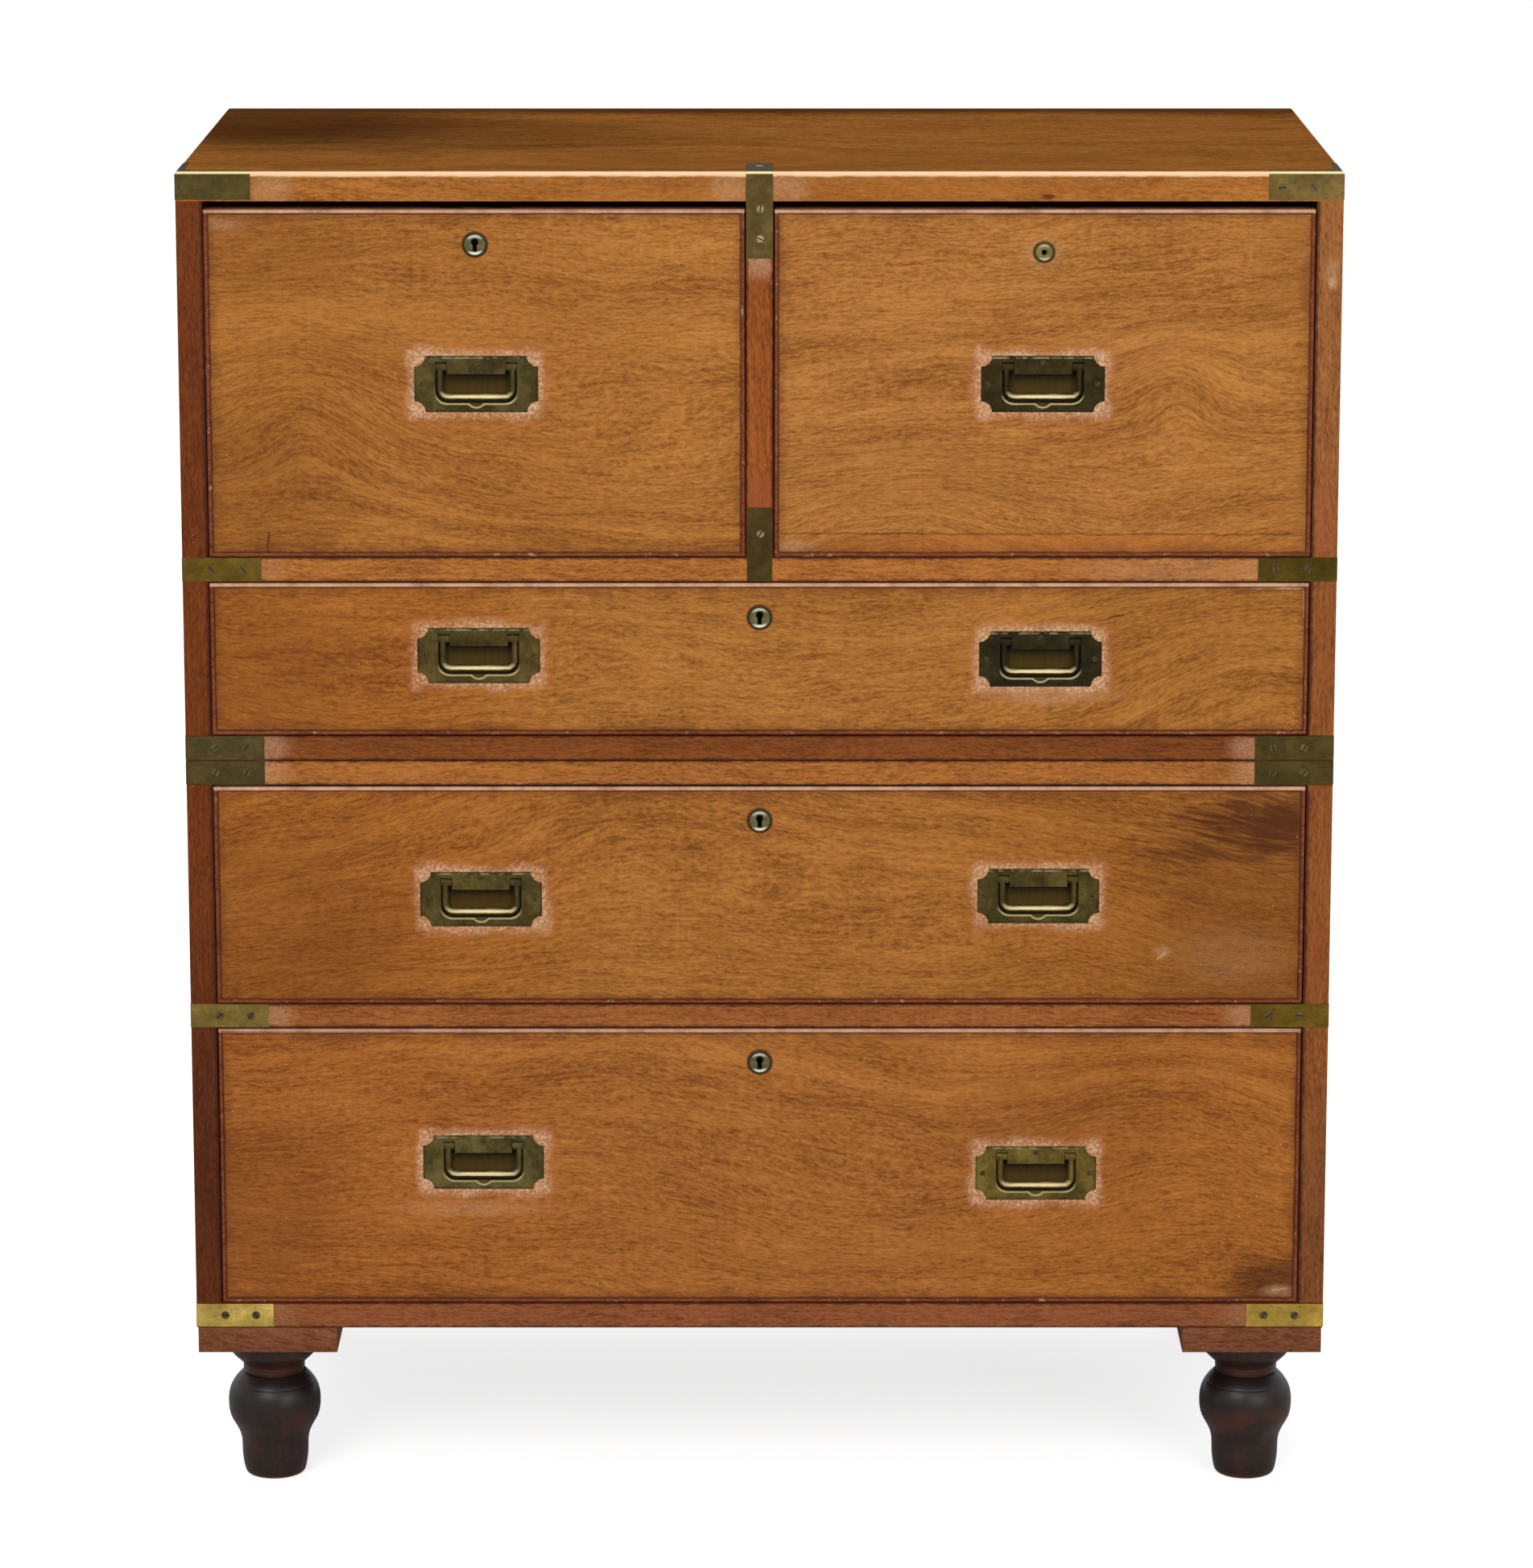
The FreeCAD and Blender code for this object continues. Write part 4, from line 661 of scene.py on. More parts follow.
def plate_brass(drawer, seed, left, right):
    """A handle plate: recess darkened by dirt and painted shade, painted highlights along its rims, dark
    edges.
    """
    g = handle_metal(f"{drawer}_plate_brass", left, right, seed, 1.15, (0.6, 7.0))
    dx, dz = handle_place(g, drawer)
    edge = g.outside_bow(dx, dz, *WELL)
    uneven = g.wobble(7)
    # Painted highlights: a thin line along the lower rim of the recess, the lip of the thumb notch and the
    # top rim of the plate.
    near = g.times_plus(uneven, 0.6, g.size(g.minus(edge, WELL_RIM)))
    away = g.length(dx, g.plus(dz, NOTCH_DROP))
    notched = g.below(away, NOTCH_RADIUS)
    clear = g.times(g.minus(1.0, notched), g.remap(dz, -9.0, -15.0))
    g.tint(g.times(g.remap(near, 0.2, 1.2, 0.85, 0.0), clear), RIM_LIGHT)
    g.tint(g.times(notched, 0.5), NOTCH_TONE)
    lip = g.size(g.minus(away, NOTCH_RADIUS))
    g.tint(g.times(g.remap(lip, 0.2, 1.2, 0.9, 0.0), g.below(dz, -WELL_BOTTOM)), RIM_LIGHT)
    upper_rim = g.size(g.minus(dz, UPPER_RIM))
    g.tint(g.times(g.remap(upper_rim, 0.3, 1.3, 0.45, 0.0), g.remap(uneven, -0.1, 0.1)), RIM_LIGHT)
    rims = [g.minus(whole / 2, g.size(value)) for value, whole in zip((dx, dz), PLATE_SIZE)]
    border = g.times_plus(uneven, 3.0, g.smaller(*rims))
    g.tint(g.remap(border, 0.0, 2.4, 0.55, 0.0), PATINA_DARK)
    # The recess is darkened by dirt and painted shade, darkest at its top.
    face = node_box(f"{drawer}_handle_plates")[0].y
    deep = g.remap(g.minus(g.y, face), 0.9, 3.2)
    streaks = g.noise(g.combine(g.over(dx, 3.0), g.over(dz, 30.0), 0.0), 3.0)
    shade = g.sway(streaks, 0.5, g.remap(dz, -9.0, 8.0))
    g.tint(deep, g.mix(shade, WELL_SHADE_AND_DIRT, WELL_DARK))
    g.dull(deep)
    return g.done()


def bail_brass(drawer, seed, left, right):
    """A bail: patina on the arms, and a painted highlight along the top of the lower bar."""
    g = handle_metal(f"{drawer}_bail_brass", left, right, seed, 0.7, (7.0, 0.5))
    dx, dz = handle_place(g, drawer)
    uneven = g.noise(g.combine(g.over(dx, 9.0), g.over(dz, 1.2), 0.0), 3.0, 0.6)
    inner = g.sway(uneven, 2.0, g.outside_bow(dx, dz, *BOW))
    middle = g.remap(g.size(dx), 36.0, 14.0, 0.5, 1.0)
    # Painted highlight along the top inner edge of the lower bar.
    band = g.fall(g.size(g.minus(inner, 1.9)), 0.7, 2.2)
    lower = g.remap(dz, -6.0, -11.0)
    g.tint(g.times(g.times(band, lower), middle), BAIL_HIGHLIGHT)
    g.tint(g.times(g.times(g.remap(inner, 3.6, 5.2), lower), 0.6), PATINA_DARK)
    g.metallic = 0.45
    g.roughness = g.plus(g.roughness, 0.12)
    return g.done()


def lock_brass(lock, seed, color, shine):
    """A nose with painted highlights above and below, an edge darkened by dirt and painted shade, and painted
    shade inside its keyhole.
    """
    g = Brass(f"{lock}_brass", color, seed, patchy=0.9)
    x, z, radius = nose_centre(lock)
    dx, dz = g.minus(g.x, x), g.minus(g.z, z)
    away = g.length(dx, dz)
    face = g.remap(g.y, FRONT_Y, FRONT_Y - 1.0)
    slant = g.over(g.times_plus(dx, 0.05, g.times(dz, -1.0)), radius)
    # Painted highlights on the nose above and below the keyhole.
    ring = g.fall(g.size(g.minus(away, radius - 2.2)), 0.5, 1.7)
    low_light = g.remap(slant, 0.45, 0.8, 0.0, 0.95 * shine, smooth=True)
    high_light = g.remap(slant, -0.4, -0.8, 0.0, 0.65 * shine, smooth=True)
    g.tint(g.times(g.times(ring, g.larger(low_light, high_light)), face), NOSE_LIGHT)
    # The edge of the nose is darkened by dirt and painted shade.
    edge = g.remap(away, radius - 1.6, radius - 0.1, 0.0, 0.85, smooth=True)
    nose = g.times(g.below(away, radius + 0.6), g.below(g.y, FRONT_Y + NOSE_DEPTH))
    g.tint(g.times(edge, nose), NOSE_SHADE_AND_DIRT)
    # Painted shade inside the keyhole.
    deep = g.times(g.remap(g.y, FRONT_Y - 1.2, FRONT_Y + 0.8), nose)
    g.tint(g.times(deep, 0.97), KEYHOLE_BLACK)
    g.dull(deep)
    return g.done()


def strap_brass(name, color, seed, zones):
    """Straps of one section; each strap has aged to a tone of its own."""
    g = Brass(name, color, seed, patchy=0.7)
    for columns, rows, wanted in zones:
        g.other_tone(g.inside(columns, rows), color, wanted)
    behind = g.minus(g.y, FRONT_Y)
    on_top = g.times(g.remap(g.z, TOP_Z - 0.6, TOP_Z), g.remap(behind, 0.6, 1.6))
    g.tint(g.times(on_top, 0.75), PATINA_DARK)
    g.dull(on_top)
    # Painted highlight along the rounded top front arris.
    arris = g.larger(behind, g.minus(TOP_Z, g.z))
    g.tint(g.fall(arris, 0.9, 2.2, 0.85), STRAP_EDGE_HIGHLIGHT)
    return g.done()


# ---- making and placing pieces
def soften(name, width, segments=2, angle=32, smooth=False):
    """Ease the sharp edges of a CAD node by a real, worn radius."""
    item = NODES[name]
    weld = item.modifiers.new("weld", "WELD")
    weld.merge_threshold = 1e-6
    bevel = item.modifiers.new("ease", "BEVEL")
    bevel.width = width * MM
    bevel.segments = segments
    bevel.limit_method = "ANGLE"
    bevel.angle_limit = math.radians(angle)
    bevel.harden_normals = smooth
    bevel.use_clamp_overlap = True
    for polygon in item.data.polygons:
        polygon.use_smooth = smooth


def dress(name, material):
    """Give a CAD node its finished material."""
    slots = NODES[name].data.materials
    slots.clear()
    slots.append(material)


def add_object(name, data):
    """A new object in the scene."""
    item = bpy.data.objects.new(name, data)
    bpy.context.scene.collection.objects.link(item)
    return item


def mesh_piece(name, body, materials, build):
    """A new piece from a bmesh that build() fills, riding on a body."""
    mesh = bpy.data.meshes.new(name)
    shape = bmesh.new()
    build(shape)
    bmesh.ops.recalc_face_normals(shape, faces=shape.faces)
    shape.to_mesh(mesh)
    shape.free()
    for material in materials:
        mesh.materials.append(material)
    item = add_object(name, mesh)
    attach(item, body)
    return item


def smooth_curve(points, steps):
    """A curve that passes through points without corners."""
    path = []
    for number in range(len(points) - 1):
        before = points[max(number - 1, 0)]
        start, end = points[number], points[number + 1]
        after = points[min(number + 2, len(points) - 1)]
        for step in range(steps):
            t = step / steps
            path.append(tuple(
                0.5 * (2 * b + (c - a) * t + (2 * a - 5 * b + 4 * c - e) * t * t
                       + (3 * b - a - 3 * c + e) * t ** 3)
                for a, b, c, e in zip(before, start, end, after)))
    return path + [points[-1]]


def band(shape, lower, upper):
    """Faces between two rings of vertices."""
    for number in range(len(lower)):
        after = (number + 1) % len(lower)
        shape.faces.new((lower[number], lower[after], upper[after], upper[number]))


def lathe(shape, x, y, profile, around=96):
    """Turn a profile of (radius, height) pairs about an upright axis."""
    angles = [2 * math.pi * number / around for number in range(around)]
    rings = []
    for radius, height in profile:
        places = (Vector((x + radius * math.cos(angle), y + radius * math.sin(angle), height))
                  for angle in angles)
        rings.append([shape.verts.new(place * MM) for place in places])
    for lower, upper in zip(rings, rings[1:]):
        band(shape, lower, upper)
    shape.faces.new(rings[0][::-1])
    shape.faces.new(rings[-1])


# ---- feet
FOOT_SPACING = 866.0
# Base, leg and bulb, an incised ring, shoulder, reeded neck and collar, as pairs of radius and height; each
# stretch starts where the one before it ends, in a corner.
FOOT_START = (22.0, 0.0)
FOOT_STRETCHES = [
    [(24.6, 0.6), (26.3, 2.2), (27.2, 4.8)],
    [(28.3, 10.0), (29.2, 18.0), (29.6, 30.0), (30.6, 36.0), (32.6, 41.5), (35.6, 47.2), (38.8, 53.2),
     (40.4, 59.5), (40.9, 66.5), (40.6, 72.5), (39.2, 79.0), (36.8, 84.2)],
    [(36.2, 85.0), (35.9, 85.3), (35.6, 85.8), (35.2, 86.6)],
    [(33.4, 89.0), (30.9, 91.7), (28.2, 94.2)],
    [(25.4, 95.0), (25.4, 96.2), (27.3, 97.2), (26.4, 98.4), (26.6, 99.2), (27.4, 100.3), (26.3, 101.6)],
    [(27.6, 103.6), (30.0, 106.0), (33.6, 109.4), (36.6, 112.6), (37.8, 116.0), (38.0, 130.0)],
]


def turned_feet(material):
    """The four feet, turned again with finer rings than those of the solids."""
    low, high = node_box("turned_feet")
    bulb = (high.x - low.x - FOOT_SPACING) / 2
    profile = [FOOT_START]
    for stretch in FOOT_STRETCHES:
        profile += smooth_curve([profile[-1]] + stretch, steps=4)[1:]

    def build(shape):
        for x in (low.x + bulb, high.x - bulb):
            for y in (low.y + bulb, high.y - bulb):
                lathe(shape, x, y, profile)

    feet = mesh_piece("fine_turned_feet", body_of("turned_feet"), [material], build)
    for polygon in feet.data.polygons:
        polygon.use_smooth = len(polygon.vertices) == 4
    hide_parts("turned_feet")


# ---- screws
HEAD_SIDES = 14
SLOT_SIDES = 24
SLOT_SHARE = 0.15
HEAD_FOOT, SLOT_FLOOR, HEAD_RISE = -0.02, 0.02, 0.14
HEAD_EASE = 0.25

SCREW_IN = 25.6
SCREW_OUT = 52.6
STRAP_FACE = 0.4
STRAP_X, STRAP_Y, STRAP_Z = SIDE_X + STRAP_FACE, FRONT_Y - STRAP_FACE, TOP_Z + STRAP_FACE
JOINT_REACH = 11.0
TOP_SCREW_Z = TOP_Z - 13.5
BASE_MIDDLE = node_box("lower_base_board")[0].z + 11.5
RAIL_MIDDLE, LOWER_RAIL_MIDDLE = (sum(corner.z for corner in node_box(rail)) / 2
                                  for rail in ("upper_rail", "lower_rail"))
CENTRE_SCREWS = (TOP_Z - 31.8, TOP_Z - 57.2, RAIL_MIDDLE + 31.0)
CENTRE_SCREW_X, CENTRE_SCREW_BEHIND = 0.6, 40.0
PLATE_SCREWS = ((0, 18.5), (-46.5, 0), (46.5, 0))
UPPER_HEAD, CENTRE_HEAD, LOWER_HEAD, PLATE_HEAD = 3.4, 3.3, 3.6, 2.3


def screw_head(shape, place, outwards, radius, turn):
    """A countersunk head, flush with the brass, with a slot across it."""
    across = Vector((1, 0, 0)) if abs(outwards.x) < 0.5 else Vector((0, 1, 0))
    up = outwards.cross(across)
    spread = math.asin(SLOT_SHARE)

    def corner(size, angle, rise):
        flat = across * (size * math.cos(angle + turn)) + up * (size * math.sin(angle + turn))
        return shape.verts.new((place + flat + outwards * rise) * MM)

    # The floor of the slot takes the second material: dirt and painted shade.
    floor = [corner(radius, 2 * math.pi * number / SLOT_SIDES, SLOT_FLOOR) for number in range(SLOT_SIDES)]
    shape.faces.new(floor).material_index = 1
    for half in (0.0, math.pi):
        angles = [half + spread + (math.pi - 2 * spread) * number / HEAD_SIDES
                  for number in range(HEAD_SIDES + 1)]
        base = [corner(radius, angle, HEAD_FOOT) for angle in angles]
        top = [corner(radius - HEAD_EASE, angle, HEAD_RISE) for angle in angles]
        shape.faces.new(top)
        band(shape, base, top)


def screws(name, node, materials, places, radius):
    """Heads at (position, outward direction) pairs, which move with a node."""
    rng = random.Random(name)

    def build(shape):
        for place, outwards in places:
            screw_head(shape, Vector(place), Vector(outwards), radius, rng.uniform(0, math.pi))

    mesh_piece(name, body_of(node), materials, build)


def strap_screws(heights):
    """Two screws in each leg of the corner straps, on the front and on the side."""
    places = []
    for height in heights:
        for hand in (-1, 1):
            for reach in (SCREW_IN, SCREW_OUT):
                places.append(((hand * (STRAP_X - reach), STRAP_Y, height), (0, -1, 0)))
                places.append(((hand * STRAP_X, STRAP_Y + reach, height), (hand, 0, 0)))
    return places


def all_screws():
    """The screws of the straps and handle plates; none shows on the front of the top left strap."""
    # The last material darkens the screw slots with dirt and painted shade.
    strap_metal, pale_metal, plate_metal, slot_shade_dirt = (
        Brass(name, color, seed).done() for name, color, seed in (
            ("strap_screw_brass", (88, 76, 48), 61), ("pale_screw_brass", (138, 128, 98), 62),
            ("plate_screw_brass", (74, 64, 36), 63), ("screw_slot_shade_dirt", (44, 36, 20), 64)))
    upper = [(place, outwards) for place, outwards in strap_screws([TOP_SCREW_Z])
             if place[0] > 0 or outwards[1] == 0]
    upper += strap_screws([RAIL_MIDDLE, JOINT_Z + JOINT_REACH])
    screws("upper_strap_screws", "upper_straps", [strap_metal, slot_shade_dirt], upper, UPPER_HEAD)
    centre = [((CENTRE_SCREW_X, STRAP_Y, z), (0, -1, 0)) for z in CENTRE_SCREWS]
    centre.append(((0.0, FRONT_Y + CENTRE_SCREW_BEHIND, STRAP_Z), (0, 0, 1)))
    screws("centre_strap_screws", "upper_straps", [pale_metal, slot_shade_dirt], centre,
           CENTRE_HEAD)
    lower = strap_screws([JOINT_Z - JOINT_REACH, LOWER_RAIL_MIDDLE, BASE_MIDDLE])
    screws("lower_strap_screws", "lower_straps", [strap_metal, slot_shade_dirt], lower, LOWER_HEAD)
    for drawer in HANDLES:
        places = []
        for bail in bail_nodes(drawer):
            x, z = plate_centre(bail)
            places += [((x + dx, STRAP_Y, z + dz), (0, -1, 0)) for dx, dz in PLATE_SCREWS]
        screws(f"{drawer}_plate_screws", f"{drawer}_handle_plates",
               [plate_metal, slot_shade_dirt], places, PLATE_HEAD)


# ---- materials of the nodes
DARK_CORNER = srgb(66, 32, 14)
DEEP_GOLD = srgb(124, 74, 28)
ORANGE = srgb(176, 98, 34)
DUSK = srgb(104, 54, 16)
CRACK = srgb(50, 24, 12)
SCUFF = srgb(214, 180, 146)
TOP_DARK = srgb(52, 26, 12)
WARM = srgb(128, 80, 34)
SHADOW = srgb(64, 28, 14)
RED_WORN = srgb(150, 78, 44)

# Colour; heart above the middle of the front and behind it; slope; places round which the grain runs in
# arcs; change of colour at the left and the right end; stains, strokes and worn places.
FRONTS = {
    "top_left_drawer": (
        (160, 100, 41), (40, 150), 0.02,
        [((-388, 972), (64, 62), -44), ((-110, 900), (120, 70), 25)],
        ((1.0, 1.0, 0.95), (1.08, 1.12, 1.18)),
        [((-440, 1110), (120, 50), DUSK, 0.3), ((-440, 900), (110, 90), DUSK, 0.3)],
        [((-421, 846), (-421, 864), 1.6, CRACK, 0.7)],
        [((-458, 1130), (24, 7), 0.3)]),
    "top_right_drawer": (
        (167, 107, 48), (130, 120), -0.05,
        [((130, 850), (110, 70), -48), ((470, 820), (120, 90), -45), ((357, 990), (38, 42), -30)],
        ((1.0, 1.0, 1.0), (1.0, 1.0, 0.95)),
        [((250, 850), (260, 14), ORANGE, 0.45), ((450, 1080), (40, 70), DEEP_GOLD, 0.25)],
        [((18, 863), (453, 862), 1.3, CRACK, 0.5), ((165, 846), (182, 845), 2.4, SCUFF, 0.6),
         ((60, 930), (130, 938), 1.2, CRACK, 0.3)],
        [((30, 851), (18, 7), 0.5), ((241, 1105), (18, 14), 0.3)]),
    "upper_long_drawer": (
        (163, 104, 44), (90, 180), 0.02,
        [((440, 745), (160, 120), -80), ((-350, 720), (120, 60), 25)],
        ((0.97, 0.84, 0.64), (0.95, 0.94, 0.84)),
        [((-440, 750), (130, 80), DUSK, 0.35)],
        [((412, 815.6), (464, 815.6), 1.6, SCUFF, 0.6), ((467, 790), (467, 812), 1.6, SCUFF, 0.5),
         ((300, 790), (312, 792), 1.8, CRACK, 0.6), ((330, 772), (338, 771), 1.6, CRACK, 0.5)],
        [((250, 722), (60, 10), 0.4)]),
    "middle_long_drawer": (
        (161, 101, 42), (180, 90), -0.06,
        [((480, 560), (170, 140), 60), ((-120, 640), (200, 120), -55), ((-200, 440), (150, 50), -30)],
        ((0.95, 0.85, 0.68), (0.86, 0.82, 0.66)),
        [((458, 606), (105, 34), DARK_CORNER, 0.9, "xz", 0.8, 2.2),
         ((400, 580), (70, 10), DARK_CORNER, 0.55, "xz", 0.8, 2.4),
         ((-420, 500), (150, 120), DUSK, 0.35), ((440, 520), (130, 120), DUSK, 0.35)],
        [((346, 487), (352, 493), 1.6, SCUFF, 0.4)],
        [((350, 494), (9, 5), 0.35), ((410, 490), (50, 30), 0.12)]),
    "bottom_long_drawer": (
        (160, 98, 42), (-40, 110), 0.05,
        [((360, 350), (120, 100), -34), ((-150, 440), (200, 120), -40), ((120, 250), (150, 70), 28)],
        ((0.98, 0.9, 0.82), (0.96, 0.92, 0.78)),
        [((455, 195), (50, 26), DARK_CORNER, 0.6, "xz", 0.6, 1.2), ((-440, 260), (90, 90), DUSK, 0.35),
         ((250, 330), (120, 60), DEEP_GOLD, 0.25)],
        [((450, 187), (462, 189), 1.4, SCUFF, 0.35)],
        [((458, 186), (18, 7), 0.5), ((-250, 262), (70, 8), 0.25)]),
}
END_STARTS, END_FULL = 0.38, 0.16
# Tones of the left handle and, where there are two, of the right one.
HANDLES = {
    "top_left_drawer": ((70, 60, 31), None),
    "top_right_drawer": ((49, 41, 19), None),
    "upper_long_drawer": ((77, 64, 31), (43, 37, 20)),
    "middle_long_drawer": ((78, 66, 32), (72, 62, 28)),
    "bottom_long_drawer": ((82, 72, 38), (96, 80, 35)),
}
# The lever lock of the top right drawer is browner and duller than the others: its painted highlights are
# weaker.
PLAIN_NOSE = ((88, 82, 54), 0.9)
LEVER_NOSE = ((112, 98, 56), 0.45)
# Range of x, range of z and tone of the straps on the front.
LEFT, MIDDLE, RIGHT = (-500, -300), (-15, 15), (300, 500)
UPPER_STRAPS = [
    (RIGHT, (1140, 1180), (102, 83, 44)),
    (LEFT, (815, 845), (95, 75, 25)),
    (RIGHT, (815, 845), (75, 59, 17)),
    (MIDDLE, (1000, 1180), (87, 71, 37)),
    (MIDDLE, (815, 900), (68, 54, 25)),
    (LEFT, (660, 690), (79, 67, 37)),
    (RIGHT, (660, 690), (73, 61, 28)),
]
LOWER_STRAPS = [
    (RIGHT, (640, 670), (70, 58, 27)),
    (LEFT, (420, 450), (118, 99, 47)),
    (RIGHT, (420, 450), (99, 77, 24)),
    (LEFT, (150, 180), (186, 159, 82)),
    (RIGHT, (150, 180), (166, 137, 60)),
]
TOP_MARKS = [((-470, 120), (240, 200), TOP_DARK, 0.7, "xy"), ((470, 240), (220, 70), TOP_DARK, 0.5, "xy"),
             ((0, 262), (640, 70), TOP_DARK, 0.8, "xy"), ((-300, 30), (260, 170), TOP_DARK, 0.4, "xy"),
             ((60, -200), (420, 120), WARM, 0.4, "xy")]


def front_wood(drawer, index):
    """A drawer front: golden face, a rim with dirt and a line of painted shade, worn halos round its plates,
    and a ring of dirt and painted shadow round its lock.
    """
    color, (rise, behind), slope, swells, ends, marks, strokes, worn = FRONTS[drawer]
    low, high = node_box(f"{drawer}_front")
    heart = ((low.z + high.z) / 2 + rise, behind)
    wood = Wood(f"{drawer}_face", "X", tones(*color), 100 + index, heart, slope, swells=swells)
    width = high.x - low.x
    for edge, hand, ratio in zip((low.x, high.x), (1, -1), ends):
        wood.fade(wood.x, edge + hand * END_STARTS * width, edge + hand * END_FULL * width, ratio)
    plain = wood.color
    wood.wear(marks, strokes, worn)
    wood.rim_shade_and_grime(low, high)
    wood.handle_halo(handle_place(wood, drawer), 5.0 * index)
    wood.nose_shadow_and_dirt(*nose_centre(f"{drawer}_lock"))
    wood.scratches()
    wood.only_in_front(plain)
    return wood.done()


def dress_fronts():
    """Materials of the drawer fronts and their cock beads."""
    for index, drawer in enumerate(FRONTS):
        dress(f"{drawer}_front", front_wood(drawer, index))
        dress(f"{drawer}_cock_beads", bead_wood(drawer, index))


def dress_brass():
    """Materials of the handles, locks, bolts and straps."""
    bolt = Brass("bolt_brass", (142, 122, 74), 66).done()
    for seed, (drawer, (left, right)) in enumerate(HANDLES.items(), start=10):
        dress(f"{drawer}_handle_plates", plate_brass(drawer, seed, left, right))
        bail_metal = bail_brass(drawer, seed + 20, left, right)
        for bail in bail_nodes(drawer):
            dress(bail, bail_metal)
        nose = LEVER_NOSE if drawer == "top_right_drawer" else PLAIN_NOSE
        dress(f"{drawer}_lock", lock_brass(f"{drawer}_lock", seed + 40, *nose))
        dress(f"{drawer}_lock_bolt", bolt)
    dress("upper_straps", strap_brass("upper_strap_brass", (75, 64, 32), 1, UPPER_STRAPS))
    dress("lower_straps", strap_brass("lower_strap_brass", (76, 64, 34), 2, LOWER_STRAPS))


def worn_ends(z, strength=0.35):
    """Polish worn off the wood just beside the ends of the straps, at one height."""
    return [((hand * STRAP_END_X, z), STRAP_END_WEAR, strength) for hand in (-1, 1)]


# Board, its wood, colour, seed, heart of the tree, slope of the grain and worn places.
BOARDS = [
    ("upper_bottom_board", "joint", (121, 65, 25), 15, (640, 150), 0.02, worn_ends(675, 0.45)),
    ("lower_top_board", "lower_top", (162, 98, 42), 12, (600, 120), 0.01, worn_ends(653)),
    ("lower_base_board", "base", (134, 76, 42), 16, (150, 150), 0.02, worn_ends(165, 0.15)),
    ("lower_rail", "lower_rail", (148, 86, 40), 14, (900, 120), 0.01, worn_ends(436)),
    ("upper_rail", "upper_rail", (168, 102, 44), 13, (900, 120), 0.01,
     worn_ends(832, 0.2) + [((350, 831), (90, 14), 0.2)]),
]


def board_woods():
    """A material for each word that the names of wooden nodes hold."""
    woods = {
        "side_left": side_wood("left_mahogany", (107, 51, 16), 7, -1, [(600, 300, (0.80, 0.82, 1.1))],
                               [((-484, 300), (30, 200), SHADOW, 0.35)]),
        "side_right": side_wood("right_mahogany", (149, 92, 46), 8, 1,
                                [(900, 800, (0.80, 0.68, 0.56)), (420, 250, (0.82, 0.86, 1.1))],
                                [((484, 880), (12, 60), RED_WORN, 0.4), ((484, 480), (9, 50), RED_WORN, 0.4)],
                                [((486, 1088), (7, 14), 0.35), ((487, 1079), (4, 5), 0.6)]),
        "upper_top_board": top_board(TOP_MARKS),
        "foot_blocks": plain_wood("block_mahogany", "X", (122, 72, 44), 25),
        "partition": plain_wood("divider_mahogany", "Z", (144, 76, 28), 29, dirt_shade_node="centre_partition",
                                marks=[((0, 895), (16, 22), RED_WORN, 0.5)],
                                worn=[((0, 1097), (16, 16), 0.55)]),
        "box": plain_wood("lining_oak", "Y", (152, 112, 70), 31),
        "turned_feet": foot_wood(),
    }
    for board, wood, color, seed, heart, slope, worn in BOARDS:
        woods[board] = plain_wood(f"{wood}_mahogany", "X", color, seed, heart, slope, worn=worn, dirt_shade_node=board)
    back = plain_wood("stained_deal", "X", (120, 84, 52), 33)
    return woods | dict.fromkeys(("back_boards", "runners", "stops", "pegs"), back)


def dress_wood():
    """Materials of all other wooden nodes, and the feet that are turned again."""
    woods = board_woods()
    turned_feet(woods["turned_feet"])
    for name in NODES:
        for word, material in woods.items():
            if word in name:
                dress(name, material)


# Radius and segments of the worn edges of nodes by a word in their names, then angle and smooth shading.
EASES = {"straps": (0.25, 2), "handle_plates": (0.25, 2), "bail": (0.45, 3, 20, True),
         "lock": (0.4, 3, 30, True), "beads": (0.4, 2, 20), "box": (0.3, 1)}
BOARD_EASE = (0.8, 3)


def ease_all():
    """Worn edges of every node except the drawer fronts, whose edges lie behind their beads."""
    for name in NODES:
        if not name.endswith("_front"):
            soften(name, *next((ease for word, ease in EASES.items() if word in name), BOARD_EASE))


# ---- studio
AMBIENT = 0.42
FLOOR_GREY = (0.75, 0.75, 0.75, 1)
FLOOR_GLOW = 0.72
FLOOR_HALF = 9.0
# Name, place and aim in metres, width and depth, power in watts.
LAMPS = [
    ("key", (-1.6, -4.2, 3.0), (0, 0, 0.6), (2.4, 2.4), 88),
    ("fill", (2.4, -4.0, 1.6), (0, 0, 0.6), (2.4, 2.4), 52),
    ("top", (0.2, 0.2, 3.6), (0, 0, 1.1), (2.4, 1.6), 34),
]

CAMERA_SIDE = 5.9
CAMERA_AWAY = 4987
CAMERA_ABOVE = 591
CAMERA_PITCH = 11.16
CAMERA_SHIFT = -0.1
FOCAL_PIXELS = 7349
LONG_SIDE_PIXELS = 1948
SENSOR = 36.0


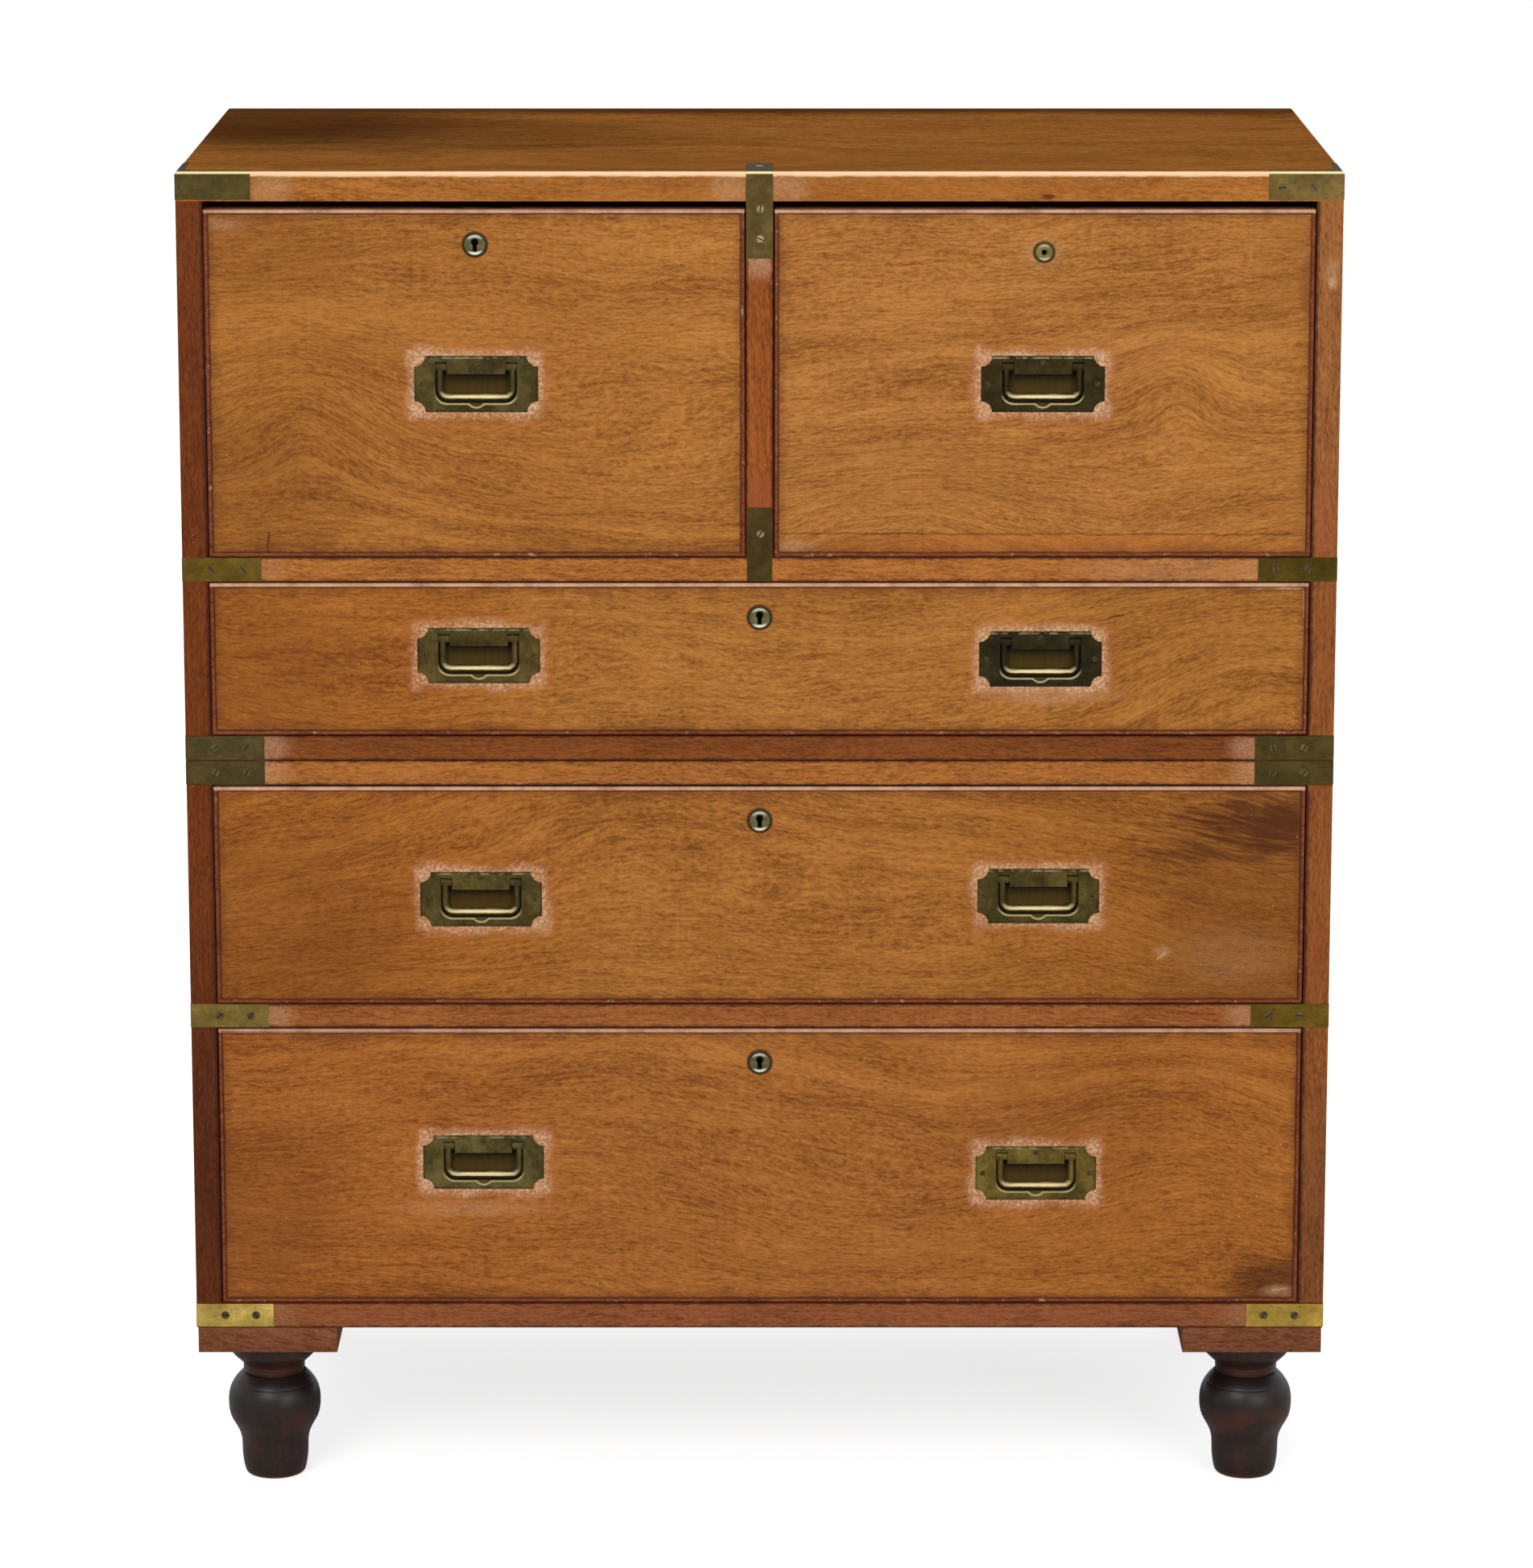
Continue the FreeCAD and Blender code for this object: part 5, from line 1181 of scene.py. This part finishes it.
def surroundings():
    """A plain world: white where the camera or a reflection sees it, dimmer as light."""
    world = bpy.data.worlds.new("studio")
    bpy.context.scene.world = world
    sky = Tree(world)
    path = sky.add("ShaderNodeLightPath").outputs
    seen = sky.larger(sky.larger(path["Is Camera Ray"], path["Is Glossy Ray"]), path["Is Transmission Ray"])
    background = sky.add("ShaderNodeBackground")
    background.inputs["Color"].default_value = (1, 1, 1, 1)
    sky.join(background.inputs["Strength"], sky.remap(seen, 0.0, 1.0, AMBIENT, 1.0))
    sky.join(sky.add("ShaderNodeOutputWorld").inputs["Surface"], background.outputs[0])


def lamps():
    """Soft lamps, each turned towards its aim."""
    for name, place, aim, size, power in LAMPS:
        light = bpy.data.lights.new(name, "AREA")
        light.shape = "RECTANGLE"
        light.size, light.size_y = size
        light.energy = power
        lamp = add_object(name, light)
        lamp.location = place
        lamp.rotation_euler = (Vector(aim) - Vector(place)).to_track_quat("-Z", "Y").to_euler()


def studio_floor():
    """A pale floor that keeps the shadow and runs out to white."""
    g = Graph("studio_floor")
    diffuse = g.add("ShaderNodeBsdfDiffuse")
    diffuse.inputs["Color"].default_value = FLOOR_GREY
    glow = g.add("ShaderNodeEmission")
    path = g.add("ShaderNodeLightPath")
    g.join(glow.inputs["Strength"], g.times(path.outputs["Is Camera Ray"], FLOOR_GLOW))
    both = g.fill(g.add("ShaderNodeAddShader"), diffuse.outputs[0], glow.outputs[0])
    g.join(g.output.inputs["Surface"], both)
    mesh = bpy.data.meshes.new("floor")
    corners = [(x * FLOOR_HALF, y * FLOOR_HALF, 0) for x, y in ((-1, -1), (1, -1), (1, 1), (-1, 1))]
    mesh.from_pydata(corners, [], [(0, 1, 2, 3)])
    mesh.materials.append(g.material)
    add_object("floor", mesh)


def camera():
    """The photograph's viewpoint, solved from its perspective."""
    lens = bpy.data.cameras.new("camera")
    lens.sensor_width = SENSOR
    lens.lens = FOCAL_PIXELS / LONG_SIDE_PIXELS * SENSOR
    lens.shift_y = CAMERA_SHIFT
    lens.clip_end = 50
    item = add_object("camera", lens)
    item.location = (CAMERA_SIDE * MM, FRONT_Y * MM - CAMERA_AWAY * MM, TOP_Z * MM + CAMERA_ABOVE * MM)
    item.rotation_euler = (math.radians(90 - CAMERA_PITCH), 0, 0)
    bpy.context.scene.camera = item


dress_wood()
dress_fronts()
dress_brass()
all_screws()
ease_all()
surroundings()
lamps()
studio_floor()
camera()
bpy.context.scene.view_settings.view_transform = "Standard"
